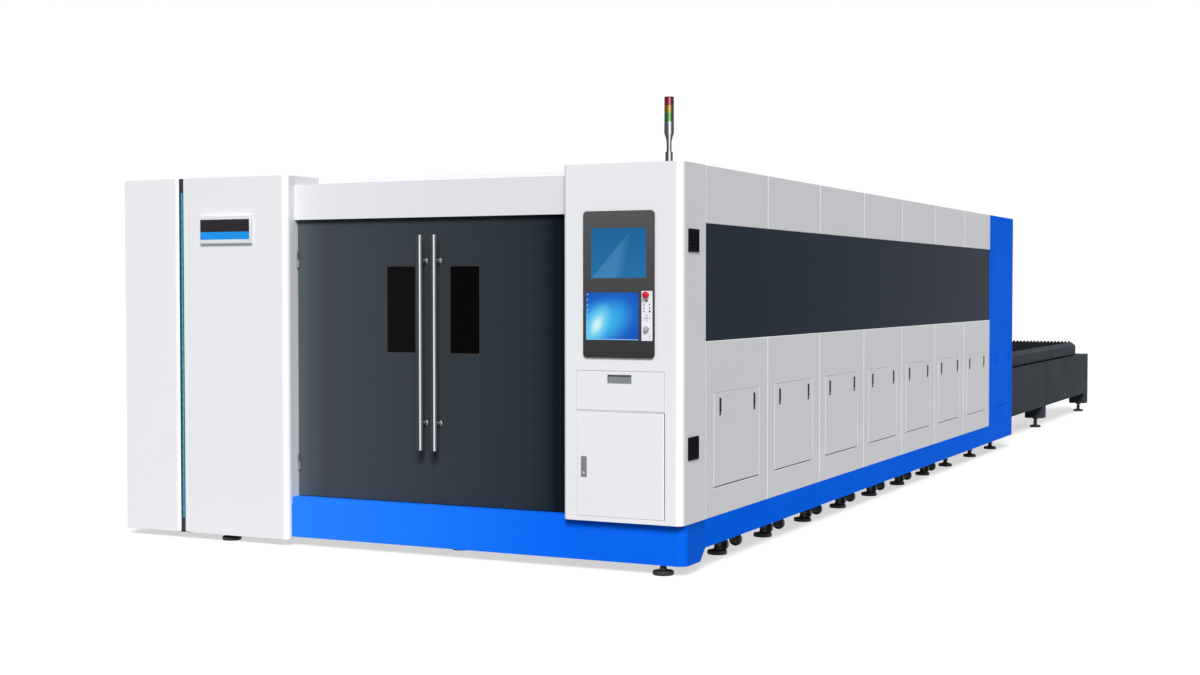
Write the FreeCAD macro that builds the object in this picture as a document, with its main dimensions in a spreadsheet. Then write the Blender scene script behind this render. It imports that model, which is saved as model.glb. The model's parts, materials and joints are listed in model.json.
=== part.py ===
import FreeCAD, Part
import os
import re

import Sketcher

doc = FreeCAD.newDocument("laser_cutting_machine")

# ---------------------------------------------------------------------------
# Driving dimensions, in millimetres.  Three kinds of station are used below:
#   across: distance in from the right side face, towards the left side
#   deep:   distance back from the corner of the front cabinet and the side wall
#   up:     height over the floor
# ---------------------------------------------------------------------------
SIZES = {
    # the whole machine
    "machine_width": (3934, "right side face to outer face of the left cabinet"),
    "machine_height": (2300, "floor to top of the panels"),
    "body_width": (3332, "right side face to left side face of the enclosure"),
    "table_end": (13810, "deep station of the rear end of the exchange table"),
    "sheet_thick": (3, "sheet of every folded panel"),
    "panel_fold": (30, "depth of the folded edge of a panel"),
    "seam_gap": (3, "gap between two panels"),
    # side walls
    "first_seam": (170, "deep station of the first seam of the side wall"),
    "module_pitch": (1023, "one wall panel and its seam"),
    "module_count": (7, "wall panels from the front to the portal"),
    "skirt_bottom": (125, "lower edge of the side skirt"),
    "skirt_top": (286, "upper edge of the side skirt"),
    "stripe_bottom": (1300, "lower edge of the dark window band"),
    "stripe_top": (1970, "upper edge of the dark window band"),
    "stripe_inset": (4, "window band behind the wall face"),
    "stripe_thick": (8, "tinted sheet of the window band"),
    # service hatches
    "hatch_width": (740, "hatch along the wall"),
    "hatch_height": (538, "hatch, upright"),
    "hatch_bottom": (457, "hinge line over the floor"),
    "hatch_start": (130, "from a seam to the hatch"),
    "portal_hatch_start": (200, "from the portal seam to its hatch"),
    "hatch_fold": (18, "depth of the hatch tray"),
    "hinge_radius": (4, "rolled hinge of a hatch or console door"),
    "flap_gap": (3, "gap round a hatch, door or drawer front"),
    "latch_wide": (20, "hatch latch across"),
    "latch_tall": (104, "hatch latch upright"),
    "latch_inset": (90, "latch centre in from the side of the hatch"),
    "latch_drop": (27, "latch top below the top of the hatch"),
    "latch_proud": (8, "latch out of the wall face"),
    # frame of the enclosure
    "post_deep": (75, "wall post, across"),
    "post_wide": (55, "wall post, along the wall"),
    "tube_wall": (5, "wall of the frame tubes"),
    "roof_drop": (8, "roof panels below the top of the walls"),
    # bed
    "bed_inner": (187, "across station of the inner faces of the bed"),
    "bed_base": (140, "underside of the bed"),
    "bed_foot_tall": (120, "lower tube of the bed, upright"),
    "bed_top": (1100, "top of the bed side, where the gantry rails lie"),
    "bed_top_tall": (150, "upper tube of the bed, upright"),
    "bed_post_wide": (80, "bed post along the machine"),
    "bed_cross_tall": (80, "cross member of the bed, upright"),
    "outrigger": (2000, "deep station of the arm under the laser cabinet"),
    "scrap_tray_start": (262, "across station of the scrap trays"),
    "scrap_tray_tall": (150, "scrap tray, upright"),
    "front_tube_start": (-119, "deep station of the front base tube"),
    "front_tube_wide": (70, "front base tube, along the machine"),
    "rail_wide": (30, "gantry rail across"),
    "rail_tall": (28, "gantry rail upright"),
    "rack_wide": (18, "gear rack across"),
    "rack_tall": (26, "gear rack upright"),
    # feet and casters
    "pad_radius": (60, "pad of a levelling foot"),
    "pad_tall": (27, "pad of a levelling foot"),
    "stem_radius": (14, "stem of a foot"),
    "foot_inset": (150, "side feet in from the side face"),
    "foot_first": (725, "deep station of the first side foot"),
    "foot_pitch": (790, "side foot to side foot"),
    "foot_count": (8, "side feet at even pitch"),
    "foot_last": (7189, "last side foot in front of the portal"),
    "foot_portal": (8050, "side foot under the portal"),
    "front_foot": (-84, "deep station of the feet under the front tube"),
    "foot_corner": (3152, "across station of the left foot under the front tube"),
    "foot_middle": (1630, "across station of the foot under the first cross member"),
    "caster_radius": (40, "transport wheel"),
    "caster_wide": (32, "transport wheel"),
    "caster_lift": (2, "wheel clear of the floor once the feet are set"),
    "caster_inset": (162, "casters in from the side face"),
    "caster_near": (112, "from a foot to its first caster"),
    "caster_far": (340, "from a foot to its second caster"),
    # front skirt, lintel and doors
    "front_skirt_face": (125, "front face of the skirt, forward of the corner"),
    "front_skirt_bottom": (56, "lower edge of the front skirt"),
    "front_skirt_top": (306, "upper edge of the front skirt, under the doors"),
    "skirt_round": (50, "rounded corner of the front skirt"),
    "skirt_slope": (75, "length of the slope from the front skirt up to the side skirt"),
    "lintel_face": (90, "front face of the lintel, forward of the corner"),
    "lintel_bottom": (2025, "lower edge of the lintel"),
    "lintel_top": (2242, "upper edge of the lintel"),
    "door_face": (60, "front face of the doors, forward of the corner"),
    "door_thick": (45, "door leaf"),
    "door_gap": (4, "gap round a door leaf"),
    "door_meeting": (1667, "across station where the leaves meet"),
    "door_right_edge": (742, "across station of the right jamb"),
    "door_left_edge": (2650, "across station of the left jamb"),
    "window_wide": (208, "door window"),
    "window_bottom": (1210, "door window"),
    "window_top": (1737, "door window"),
    "window_offset": (222, "window centre from the meeting line"),
    "glass_thick": (8, "laser-safe pane"),
    "handle_radius": (19, "door pull bar"),
    "handle_reach": (70, "bar axis in front of the door"),
    "handle_offset": (49, "bar axis from the meeting line"),
    "handle_bottom": (635, "lower end of the bar"),
    "handle_top": (1919, "upper end of the bar"),
    "standoff_low": (795, "lower standoff of the bar"),
    "standoff_high": (1765, "upper standoff of the bar"),
    "standoff_radius": (9, "standoff of the bar"),
    "knuckle_radius": (7, "door hinge barrel"),
    "knuckle_tall": (48, "one barrel of a door hinge"),
    "knuckle_gap": (1, "barrel in front of the leaf"),
    "knuckle_inset": (9, "hinge axis in from the edge of the leaf"),
    # left cabinet front
    "facade_face": (170, "front face of both front cabinets"),
    "facade_bottom": (40, "lower edge of the left cabinet"),
    "facade_round": (50, "rounded edge beside the doors"),
    "channel_start": (3465, "across station of the light channel"),
    "channel_wide": (35, "light channel across"),
    "channel_deep": (40, "light channel, front to back"),
    "channel_end": (90, "dark end of the light channel"),
    "channel_flank": (30, "bevel on the outer side of the light channel"),
    "strip_wide": (22, "light diffuser across"),
    "strip_deep": (12, "light diffuser, front to back"),
    "bevel_end": (3400, "across station where the inner bevel meets the front"),
    "bevel_wide": (41, "bevel on the inner side of the light channel"),
    "bevel_drop": (14, "depth of the bevels beside the light channel"),
    "plate_start": (2910, "across station of the blank plate"),
    "plate_wide": (400, "blank plate across"),
    "plate_bottom": (1880, "blank plate"),
    "plate_tall": (182, "blank plate"),
    "plate_thick": (22, "blank plate"),
    "laser_end": (2200, "rear of the laser source cabinet"),
    # console cabinet
    "console_wide": (742, "console cabinet across"),
    "console_bottom": (287, "lower edge of the console cabinet"),
    "console_round": (45, "rounded upright corners of the console"),
    "console_wall": (4, "wall of the console cabinet"),
    "shelf_thick": (6, "shelves inside the console"),
    "bezel_start": (165, "across station of the bezel"),
    "bezel_wide": (438, "bezel across"),
    "bezel_bottom": (1213, "bezel"),
    "bezel_tall": (821, "bezel"),
    "bezel_proud": (12, "bezel in front of the cabinet"),
    "bezel_round": (24, "corners of the bezel"),
    "upper_screen_start": (214, "across station of the upper screen"),
    "upper_screen_wide": (339, "upper screen"),
    "upper_screen_bottom": (1659, "upper screen"),
    "upper_screen_tall": (279, "upper screen"),
    "lower_screen_start": (259, "across station of the lower screen"),
    "lower_screen_wide": (326, "lower screen"),
    "lower_screen_bottom": (1312, "lower screen"),
    "lower_screen_tall": (266, "lower screen"),
    "screen_deep": (48, "display module, front to back"),
    "screen_sunk": (2, "screen glass behind the bezel face"),
    "buttons_start": (174, "across station of the button panel"),
    "buttons_wide": (66, "button panel"),
    "buttons_bottom": (1310, "button panel"),
    "buttons_tall": (277, "button panel"),
    "panel_proud": (3, "button panel in front of the bezel"),
    "panel_deep": (18, "button panel, front to back"),
    "stop_up": (1565, "height of the emergency stop"),
    "stop_radius": (22, "mushroom of the emergency stop"),
    "stop_tall": (30, "emergency stop in front of its panel"),
    "stop_travel": (5, "press of the emergency stop"),
    "knob_up": (1378, "height of the feed knob"),
    "knob_radius": (17, "feed knob"),
    "knob_tall": (22, "feed knob in front of its panel"),
    "shank_radius": (8, "shank of the stop button and the knob"),
    "button_radius": (5, "small push button"),
    "button_tall": (5, "small push button in front of its panel"),
    "button_travel": (2, "press of a small push button"),
    "button_pair": (34, "middle to middle of two buttons side by side"),
    "reset_up": (221, "reset button over the lower edge of the button panel"),
    "upper_row_up": (202, "first pair of buttons over the lower edge of the panel"),
    "middle_row_up": (182, "second pair of buttons over the lower edge of the panel"),
    "lower_row_up": (164, "last button over the lower edge of the panel"),
    "button_play": (0.5, "clearance round a button or shank"),
    # keyboard drawer and console door
    "drawer_start": (110, "across station of the drawer front"),
    "drawer_wide": (540, "drawer front"),
    "drawer_bottom": (918, "drawer front"),
    "drawer_tall": (218, "drawer front"),
    "drawer_front_thick": (18, "drawer front"),
    "drawer_deep": (290, "drawer tray, front to back"),
    "drawer_travel": (260, "pull-out of the drawer"),
    "drawer_side": (60, "side of the drawer tray, upright"),
    "tray_narrow": (24, "drawer tray in from each side of its front"),
    "tray_up": (30, "drawer tray above the lower edge of its front"),
    "runner_wide": (10, "drawer runner"),
    "pull_start": (308, "across station of the drawer pull"),
    "pull_wide": (149, "drawer pull"),
    "pull_bottom": (1068, "drawer pull"),
    "pull_tall": (50, "drawer pull"),
    "pull_deep": (14, "finger recess of the drawer pull"),
    "keyboard_wide": (430, "keyboard"),
    "keyboard_deep": (135, "keyboard"),
    "keyboard_tall": (22, "keyboard, rear edge"),
    "locker_start": (112, "across station of the hinge side of the console door"),
    "locker_wide": (533, "console door"),
    "locker_bottom": (317, "console door"),
    "locker_tall": (593, "console door"),
    "grip_start": (586, "across station of the console door latch"),
    "grip_wide": (37, "console door latch"),
    "grip_bottom": (534, "console door latch"),
    "grip_tall": (118, "console door latch"),
    "grip_thick": (9, "paddle of the console door latch"),
    "filter_start": (-90, "deep station of the two side filters"),
    "filter_long": (150, "side filter along the wall"),
    "filter_tall": (128, "side filter upright"),
    "filter_high": (1804, "lower edge of the upper filter"),
    "filter_low": (645, "lower edge of the lower filter"),
    "filter_thick": (6, "side filter out of the wall face"),
    # signal tower
    "beacon_across": (150, "across station of the signal tower"),
    "beacon_radius": (27.5, "lamps of the signal tower"),
    "beacon_pole": (14, "pole of the signal tower"),
    "beacon_collar": (21, "collar of the signal tower"),
    "collar_top": (2365, "top of the collar"),
    "taper_low": (2424, "lower end of the taper"),
    "taper_top": (2472, "upper end of the taper"),
    "lamp_bottom": (2532, "lower edge of the green lamp"),
    "green_top": (2583, "upper edge of the green lamp"),
    "amber_top": (2623, "upper edge of the amber lamp"),
    "beacon_top": (2672, "upper edge of the red lamp"),
    # rear portal
    "portal_sheet": (5, "sheet of the rear portal"),
    "mouth_top": (1180, "top of the pallet mouth in the rear wall"),
    # gantry and cutting head
    "gantry_inset": (10, "gantry ends clear of the wall posts"),
    "gantry_park": (900, "deep station of the parked gantry"),
    "gantry_wide": (260, "gantry beam, front to back"),
    "gantry_tall": (300, "gantry beam, upright"),
    "gantry_wall": (12, "wall of the gantry beam"),
    "truck_long": (520, "end truck of the gantry"),
    "truck_tall": (42, "end truck over the rail"),
    "truck_wide": (150, "end truck across"),
    "slide_play": (0.5, "running clearance of every slide"),
    "beam_rail_tall": (24, "rail on the gantry beam, upright"),
    "beam_rail_deep": (20, "rail on the gantry beam, front to back"),
    "carriage_wide": (300, "head carriage across"),
    "carriage_thick": (38, "head carriage plate"),
    "carriage_tall": (360, "head carriage plate, upright"),
    "lift_wide": (170, "lift plate across"),
    "lift_thick": (26, "lift plate"),
    "lift_tall": (430, "lift plate, upright"),
    "head_tip": (1000, "nozzle tip over the floor, head raised"),
    "head_wide": (105, "housing of the cutting head"),
    "head_tall": (210, "housing of the cutting head"),
    "barrel_radius": (38, "focusing barrel of the cutting head"),
    "barrel_tall": (120, "focusing barrel of the cutting head"),
    "nozzle_radius": (7, "nozzle tip"),
    "nozzle_tall": (70, "nozzle cone"),
    "gantry_travel": (5900, "gantry along the machine"),
    "head_reach": (1200, "carriage to each side of the middle"),
    # pallets and exchange table
    "pallet_face": (200, "across station of the outer face of a pallet"),
    "pallet_start": (7090, "deep station of the front end of the pallet outside"),
    "pallet_long": (6000, "pallet"),
    "pallet_travel": (6400, "pallet from the table into the machine"),
    "upper_rail": (749, "top of the upper rails"),
    "level_drop": (279, "upper rails to lower rails"),
    "rail_plate": (8, "plate of the pallet rails and the table sides"),
    "rail_ledge": (60, "pallet rail across"),
    "table_face": (167, "across station of the outer face of the table sides"),
    "table_bottom": (245, "underside of the table sides"),
    "guard_plate": (6, "side guard of a pallet"),
    "guard_lift": (24, "lower edge of the guard over the rail"),
    "guard_tall": (102, "upright part of the guard"),
    "guard_lean": (50, "guard leaning in at its top"),
    "slat_top": (171, "tips of the slats over the rail"),
    "slat_seat": (120, "seat of the slats over the rail"),
    "slat_thick": (5, "slat"),
    "slat_pitch": (360, "slat to slat"),
    "slat_count": (16, "slats of a pallet"),
    "tooth_count": (4, "teeth of a slat"),
    "tooth_tall": (24, "teeth of a slat"),
    "pallet_tube_wide": (50, "side tube of a pallet"),
    "pallet_tube_low": (46, "underside of the side tube over the rail"),
    "pallet_cross": (50, "cross tube of a pallet, upright"),
    "pallet_cross_count": (6, "cross channels of a pallet"),
    "roller_radius": (26, "pallet roller, let into its tube"),
    "roller_wide": (22, "pallet roller"),
    "roller_count": (3, "rollers on each side of a pallet"),
    "guide_tall": (28, "guide lip inside the rollers on the exchange table"),
    "leg_wide": (200, "leg block of the exchange table"),
    "leg_bottom": (110, "underside of the leg block"),
    "leg_first": (2905, "first legs in from the rear end of the table"),
    "leg_last": (104, "last legs in from the rear end of the table"),
    "end_beam": (60, "beam across the rear end of the table"),
    "drive_start": (8440, "deep station of the pallet drive"),
    "drive_cover": (60, "cover of the drive shaft between the levels"),
    "drive_up": (665, "underside of the drive cover"),
    "motor_long": (190, "gear motor beside the left table side"),
    "motor_radius": (55, "gear motor"),
}

sheet = doc.addObject("Spreadsheet::Sheet", "Sizes")
for row, (name, (value, note)) in enumerate(SIZES.items(), 1):
    sheet.set(f"A{row}", name)
    sheet.set(f"B{row}", str(value))
    sheet.set(f"C{row}", note)
    sheet.setAlias(f"B{row}", name)
doc.recompute()

FRONT_REACH = "(facade_face + bezel_proud + panel_proud + stop_tall)"


def tied(text):
    """The expression with each size in it pointed at the sheet."""
    return re.sub(r"[a-z][a-z_]+", lambda word: "Sizes." + word.group()
                  if word.group() in SIZES else word.group(), str(text))


def value(text):
    """The expression worked out now."""
    return float(sheet.evalExpression(tied(text)))


def count(text):
    return round(value(text))


def across(station):
    """X of an across station: the origin is midway between the outermost faces."""
    return f"((machine_width - latch_proud)/2 - ({station}))"


def deep(station):
    """Y of a deep station: the origin is midway between stop button and table end."""
    return f"(({station}) - (table_end - {FRONT_REACH})/2)"


def left(station):
    """The across station that mirrors another one in the enclosure."""
    return f"(body_width - ({station}))"


def both_sides(near, far):
    """The pair of across stations on the right side, then on the left side."""
    return (("right", near, far), ("left", left(far), left(near)))


# ---------------------------------------------------------------------------
# Building blocks: every size and place is an expression bound to the sheet
# ---------------------------------------------------------------------------
def bind(thing, **texts):
    for prop, text in texts.items():
        thing.setExpression(prop.replace("__", "."), tied(text))
    return thing


def move(thing, x="0", y="0", z="0"):
    return bind(thing, Placement__Base__x=x, Placement__Base__y=y, Placement__Base__z=z)


def slab(name, a_near, a_far, y_front, y_back, z_low, z_high):
    """A block between two across stations, two deep stations and two heights."""
    block = doc.addObject("Part::Box", name)
    bind(block, Length=f"({a_far}) - ({a_near})", Width=f"({y_back}) - ({y_front})",
         Height=f"({z_high}) - ({z_low})")
    return move(block, across(a_far), deep(y_front), z_low)


TURNS = {
    "up": FreeCAD.Rotation(),
    "back": FreeCAD.Rotation(FreeCAD.Vector(1, 0, 0), -90),
    "front": FreeCAD.Rotation(FreeCAD.Vector(1, 0, 0), 90),
    "right": FreeCAD.Rotation(FreeCAD.Vector(0, 1, 0), 90),
}


def rod(name, a, y, z, radius, length, points="up", upper_radius=None):
    """A cylinder or cone from a point, pointing up, back, to the front or to the right."""
    kind = "Part::Cone" if upper_radius else "Part::Cylinder"
    piece = doc.addObject(kind, name)
    piece.Placement = FreeCAD.Placement(FreeCAD.Vector(), TURNS[points])
    if upper_radius:
        bind(piece, Radius1=radius, Radius2=upper_radius, Height=length)
    else:
        bind(piece, Radius=radius, Height=length)
    return move(piece, across(a), deep(y), z)


def prism(name, a, y, z, radius, length, sides, points="up"):
    """A regular prism of few sides, for the many small round pieces."""
    piece = doc.addObject("Part::Prism", name)
    piece.Placement = FreeCAD.Placement(FreeCAD.Vector(), TURNS[points])
    piece.Polygon = sides
    bind(piece, Circumradius=radius, Height=length)
    return move(piece, across(a), deep(y), z)


def tapered(name, a, y, z, radius, upper_radius, length, squares=3):
    """A taper with four flat sides for each square taper that it is the common part of."""
    low, high = (f"({size})*cos(45/{squares})" for size in (radius, upper_radius))
    tapers = []
    for index in range(squares):
        taper = doc.addObject("Part::Wedge", f"{name}_square_{index}")
        turn = FreeCAD.Rotation(FreeCAD.Vector(0, 0, 1), 90*(index + 0.5)/squares)
        stand = FreeCAD.Rotation(FreeCAD.Vector(1, 0, 0), 90)
        taper.Placement = FreeCAD.Placement(FreeCAD.Vector(), turn.multiply(stand))
        bind(taper, Xmin=f"-{low}", Xmax=low, Zmin=f"-{low}", Zmax=low, Ymin="0", Ymax=length,
             X2min=f"-{high}", X2max=high, Z2min=f"-{high}", Z2max=high)
        tapers.append(move(taper, across(a), deep(y), z))
    common = doc.addObject("Part::MultiCommon", name)
    common.Shapes = tapers
    return common


def join(name, pieces):
    """Pieces welded into one."""
    joined = doc.addObject("Part::MultiFuse", name)
    joined.Shapes = pieces
    joined.Refine = True
    return joined


def group(name, pieces):
    """Like pieces that share a node and stay separate solids."""
    gathered = doc.addObject("Part::Compound", name)
    gathered.Links = pieces
    return gathered


def cut(name, base, tools):
    cutter = tools[0] if len(tools) == 1 else join(name + "_cutter", tools)
    piece = doc.addObject("Part::Cut", name)
    piece.Base = base
    piece.Tool = cutter
    return piece


def tray(name, a_near, a_far, y_front, y_back, z_low, z_high, open_to, wall="sheet_thick"):
    """A folded sheet: a block hollowed from one side, which stays open."""
    outside = [a_near, a_far, y_front, y_back, z_low, z_high]
    inside = [f"({text}) {'+' if index % 2 == 0 else '-'} {wall}"
              for index, text in enumerate(outside)]
    sides = {"right": 0, "left": 1, "front": 2, "back": 3, "bottom": 4, "top": 5}
    for side in open_to.split():
        inside[sides[side]] = outside[sides[side]]
    return cut(name, slab(name + "_blank", *outside), [slab(name + "_inside", *inside)])


def tube(name, a_near, a_far, y_front, y_back, z_low, z_high, runs):
    """A rectangular tube with open ends."""
    ends = {"across": "right left", "back": "front back", "up": "bottom top"}[runs]
    return tray(name, a_near, a_far, y_front, y_back, z_low, z_high, ends, "tube_wall")


def body(name):
    solid = doc.addObject("PartDesign::Body", name)
    solid.AllowCompound = True
    return solid


def outline(solid, name, plane, points, offset="0"):
    """A closed sketch whose corners are bound to the sheet, on a plane of its own body."""
    sketch = solid.newObject("Sketcher::SketchObject", name)
    sketch.AttachmentSupport = (
        [part for part in solid.Origin.OriginFeatures if part.Role == plane][0], [""])
    sketch.MapMode = "FlatFace"
    bind(sketch, AttachmentOffset__Base__z=offset)
    corners = [FreeCAD.Vector(value(x), value(y), 0) for x, y in points]
    last = len(corners) - 1
    for index, corner in enumerate(corners):
        sketch.addGeometry(Part.LineSegment(corner, corners[0 if index == last else index + 1]))
    for index in range(len(corners)):
        following = 0 if index == last else index + 1
        sketch.addConstraint(Sketcher.Constraint("Coincident", index, 2, following, 1))
    for index, (x, y) in enumerate(points):
        for kind, text in (("DistanceX", x), ("DistanceY", y)):
            rule = sketch.addConstraint(
                Sketcher.Constraint(kind, -1, 1, index, 1, value(text)))
            sketch.setExpression(f"Constraints[{rule}]", tied(text))
    return sketch


def rectangle(x_low, x_high, y_low, y_high):
    return [(x_low, y_low), (x_high, y_low), (x_high, y_high), (x_low, y_high)]


def clipped(far, near, front, back, corner, corners=1):
    """A plan whose front corners are cut off at 45 degrees, inside rounded ones."""
    points = [(across(far), deep(back)), (across(far), deep(front))]
    if corners == 2:
        points[1:] = [(across(far), deep(f"{front} + {corner}")),
                      (across(f"{far} - {corner}"), deep(front))]
    return points + [(across(f"{near} + {corner}"), deep(front)),
                     (across(near), deep(f"{front} + {corner}")), (across(near), deep(back))]


def pad(solid, name, sketch, length, reverse=False):
    feature = solid.newObject("PartDesign::Pad", name)
    feature.Profile = sketch
    feature.Reversed = reverse
    return bind(feature, Length=length)


def pocket(solid, name, sketch, length, reverse=False):
    feature = solid.newObject("PartDesign::Pocket", name)
    feature.Profile = sketch
    feature.Reversed = reverse
    return bind(feature, Length=length)


def rounded(solid, name, base, radius, wanted):
    """A fillet on the edges whose middle and direction the test accepts."""
    doc.recompute()
    names = [f"Edge{index}" for index, edge in enumerate(base.Shape.Edges, 1)
             if wanted(edge.CenterOfMass, edge.tangentAt(edge.FirstParameter))]
    feature = solid.newObject("PartDesign::Fillet", name)
    feature.Base = (base, names)
    return bind(feature, Radius=radius)


def upright(direction):
    return abs(direction.z) > 0.99


def seam(index):
    """Deep station of a seam of the side wall."""
    return f"(first_seam + {index}*module_pitch)"


MODULES = range(count("module_count"))
PORTAL_START = seam(len(MODULES))
PORTAL_END = seam(len(MODULES) + 1)


# ---------------------------------------------------------------------------
# Bed: a welded frame of tubes that carries the gantry rails and the pallet rails
# ---------------------------------------------------------------------------
BED_OUTER = "(panel_fold + post_deep)"
bed_pieces = []
for side, near, far in both_sides(BED_OUTER, "bed_inner"):
    bed_pieces.append(tube(f"bed_sill_{side}", near, far, "front_tube_start + front_tube_wide",
                           PORTAL_END, "bed_base", "bed_base + bed_foot_tall", "back"))
    bed_pieces.append(tube(f"bed_top_tube_{side}", near, far, "first_seam",
                           PORTAL_START, "bed_top - bed_top_tall", "bed_top", "back"))
    for index in range(len(MODULES) + 1):
        middle = seam(index) + (" + bed_post_wide/2" if index == 0 else
                                " - bed_post_wide/2" if index == len(MODULES) else "")
        bed_pieces.append(tube(f"bed_post_{side}_{index}", near, far,
                               f"{middle} - bed_post_wide/2", f"{middle} + bed_post_wide/2",
                               "bed_base + bed_foot_tall", "bed_top - bed_top_tall", "up"))
for index in range(len(MODULES) + 1):
    middle = seam(index) + (" + bed_post_wide/2" if index == 0 else "")
    bed_pieces.append(tube(f"bed_cross_{index}", "bed_inner", left("bed_inner"),
                           f"{middle} - bed_post_wide/2", f"{middle} + bed_post_wide/2",
                           "bed_base", "bed_base + bed_cross_tall", "across"))
bed_pieces.append(tube("bed_front", BED_OUTER, "machine_width - foot_inset + pad_radius",
                       "front_tube_start", "front_tube_start + front_tube_wide",
                       "bed_base", "bed_base + bed_foot_tall", "across"))
for index, (side, near, far) in enumerate(both_sides(BED_OUTER, "bed_inner")):
    bed_pieces.append(tube(f"bed_rear_post_{index}", near, far,
                           f"{PORTAL_END} - portal_sheet - bed_post_wide",
                           f"{PORTAL_END} - portal_sheet",
                           "bed_base + bed_foot_tall", "upper_rail", "up"))
bed_pieces.append(tube("bed_outrigger", left(BED_OUTER), "machine_width - foot_inset + pad_radius",
                       "outrigger - bed_post_wide/2", "outrigger + bed_post_wide/2",
                       "bed_base", "bed_base + bed_foot_tall", "across"))

# Angle rails that the pallet rollers run on, welded to the bed posts
for side, near, far in both_sides("bed_inner", "bed_inner + rail_ledge"):
    wall_near = near if side == "right" else f"{far} - rail_plate"
    for level, top in (("high", "upper_rail"), ("low", "(upper_rail - level_drop)")):
        ledge = slab(f"pallet_rail_ledge_{level}_{side}", near, far, "first_seam", PORTAL_END,
                     f"{top} - rail_plate", top)
        web = slab(f"pallet_rail_web_{level}_{side}", wall_near, f"{wall_near} + rail_plate",
                   "first_seam", PORTAL_END, f"{top} - rail_ledge", f"{top} - rail_plate")
        bed_pieces.append(join(f"pallet_rail_{level}_{side}", [ledge, web]))
group("bed_frame", bed_pieces)

# Linear rails on the bed, with a gear rack on the inner face of each side
RAIL_MIDDLE = f"(({BED_OUTER} + bed_inner)/2)"
rail_pieces = []
for side, near, far in both_sides(f"{RAIL_MIDDLE} - rail_wide/2", f"{RAIL_MIDDLE} + rail_wide/2"):
    rail_pieces.append(slab(f"gantry_rail_{side}", near, far, "first_seam", PORTAL_START,
                            "bed_top", "bed_top + rail_tall"))
for side, near, far in both_sides("bed_inner", "bed_inner + rack_wide"):
    rail_pieces.append(slab(f"gear_rack_{side}", near, far, "first_seam", PORTAL_START,
                            "bed_top - rack_tall", "bed_top"))
group("gantry_rails", rail_pieces)

# Scrap trays on the cross members, one in each bay, under the lower pallet
group("scrap_trays", [
    tray(f"scrap_tray_{index}", "scrap_tray_start", left("scrap_tray_start"),
         f"{seam(index)} + seam_gap", f"{seam(index + 1)} - seam_gap",
         "bed_base + bed_cross_tall", "bed_base + bed_cross_tall + scrap_tray_tall", "top")
    for index in MODULES])


# ---------------------------------------------------------------------------
# Levelling feet: a pad on a stem, under the frame and the table
# ---------------------------------------------------------------------------
def foot(name, a, y, top):
    """One levelling foot, whose stem meets the underside of what it carries."""
    return join(name, [
        prism(name + "_pad", a, y, "0", "pad_radius", "pad_tall", 8),
        prism(name + "_stem", a, y, "pad_tall", "stem_radius", f"{top} - pad_tall", 4)])


side_feet = [f"(foot_first + {index}*foot_pitch)" for index in range(count("foot_count"))]
feet = []
for side, a in (("right", "foot_inset"), ("left", left("foot_inset"))):
    for index, y in enumerate(side_feet + ["foot_last", "foot_portal"]):
        feet.append(foot(f"foot_{side}_{index}", a, y, "bed_base"))
for index, (a, y) in enumerate((("foot_inset", "front_foot"), ("foot_corner", "front_foot"),
                                ("foot_middle", "(first_seam + bed_post_wide/2)"))):
    feet.append(foot(f"foot_front_{index}", a, y, "bed_base"))
TABLE_FOOT = "(table_face + leg_wide/2)"
LEGS = ("(table_end - leg_first)", "(table_end - leg_last)")
for side, a in (("right", TABLE_FOOT), ("left", left(TABLE_FOOT))):
    for index, y in enumerate(LEGS):
        feet.append(foot(f"foot_table_{side}_{index}", a, y, "leg_bottom"))
feet.append(foot("foot_outrigger", "(machine_width - foot_inset)", "outrigger", "bed_base"))
group("levelling_feet", feet)

# Transport wheels: a pair behind each side foot, in forks under the bed
FORK_HALF = "caster_radius*cos(45)"
casters = []
for side, a in (("right", "caster_inset"), ("left", left("caster_inset"))):
    for index, y in enumerate(side_feet[:-1]):
        for place in ("caster_near", "caster_far"):
            name = f"caster_{side}_{index}_{place[7:]}"
            middle = f"{y} + {place}"
            wheel = prism(name + "_wheel", a, f"{middle} - caster_wide/2",
                          "caster_lift + caster_radius", "caster_radius", "caster_wide", 8,
                          "back")
            fork = slab(name + "_fork", f"{a} - {FORK_HALF}", f"{a} + {FORK_HALF}",
                        f"{middle} - caster_wide/2", f"{middle} + caster_wide/2",
                        "caster_lift + caster_radius", "bed_base")
            casters.append(join(name, [wheel, fork]))
group("transport_casters", casters)


# ---------------------------------------------------------------------------
# Enclosure frame: posts at every seam, top rails and roof cross tubes
# ---------------------------------------------------------------------------
ROOF_TOP = "(machine_height - roof_drop)"
FRAME_TOP = f"({ROOF_TOP} - panel_fold)"
frame_pieces = []
for side, near, far in both_sides("panel_fold", BED_OUTER):
    for index in range(len(MODULES) + 2):
        start = (seam(index) if index == 0 else f"({PORTAL_END} - portal_sheet - post_wide)"
                 if index == len(MODULES) + 1 else f"({seam(index)} - post_wide/2)")
        frame_pieces.append(tray(f"wall_post_{side}_{index}", near, far, start,
                                 f"{start} + post_wide", "bed_base",
                                 f"{FRAME_TOP} - post_wide",
                                 "top bottom " + ("front left" if side == "right"
                                                  else "front right"), "tube_wall"))
    frame_pieces.append(tube(f"top_rail_{side}", near, far, "first_seam",
                             f"{PORTAL_END} - portal_sheet", f"{FRAME_TOP} - post_wide",
                             FRAME_TOP, "back"))
for index in range(len(MODULES) + 2):
    start = (seam(index) if index == 0 else f"({PORTAL_END} - portal_sheet - post_wide)"
             if index == len(MODULES) + 1 else f"({seam(index)} - post_wide/2)")
    frame_pieces.append(tube(f"roof_tube_{index}", BED_OUTER, left(BED_OUTER), start,
                             f"{start} + post_wide", f"{FRAME_TOP} - post_wide", FRAME_TOP,
                             "across"))
group("wall_frame", frame_pieces)


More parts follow.
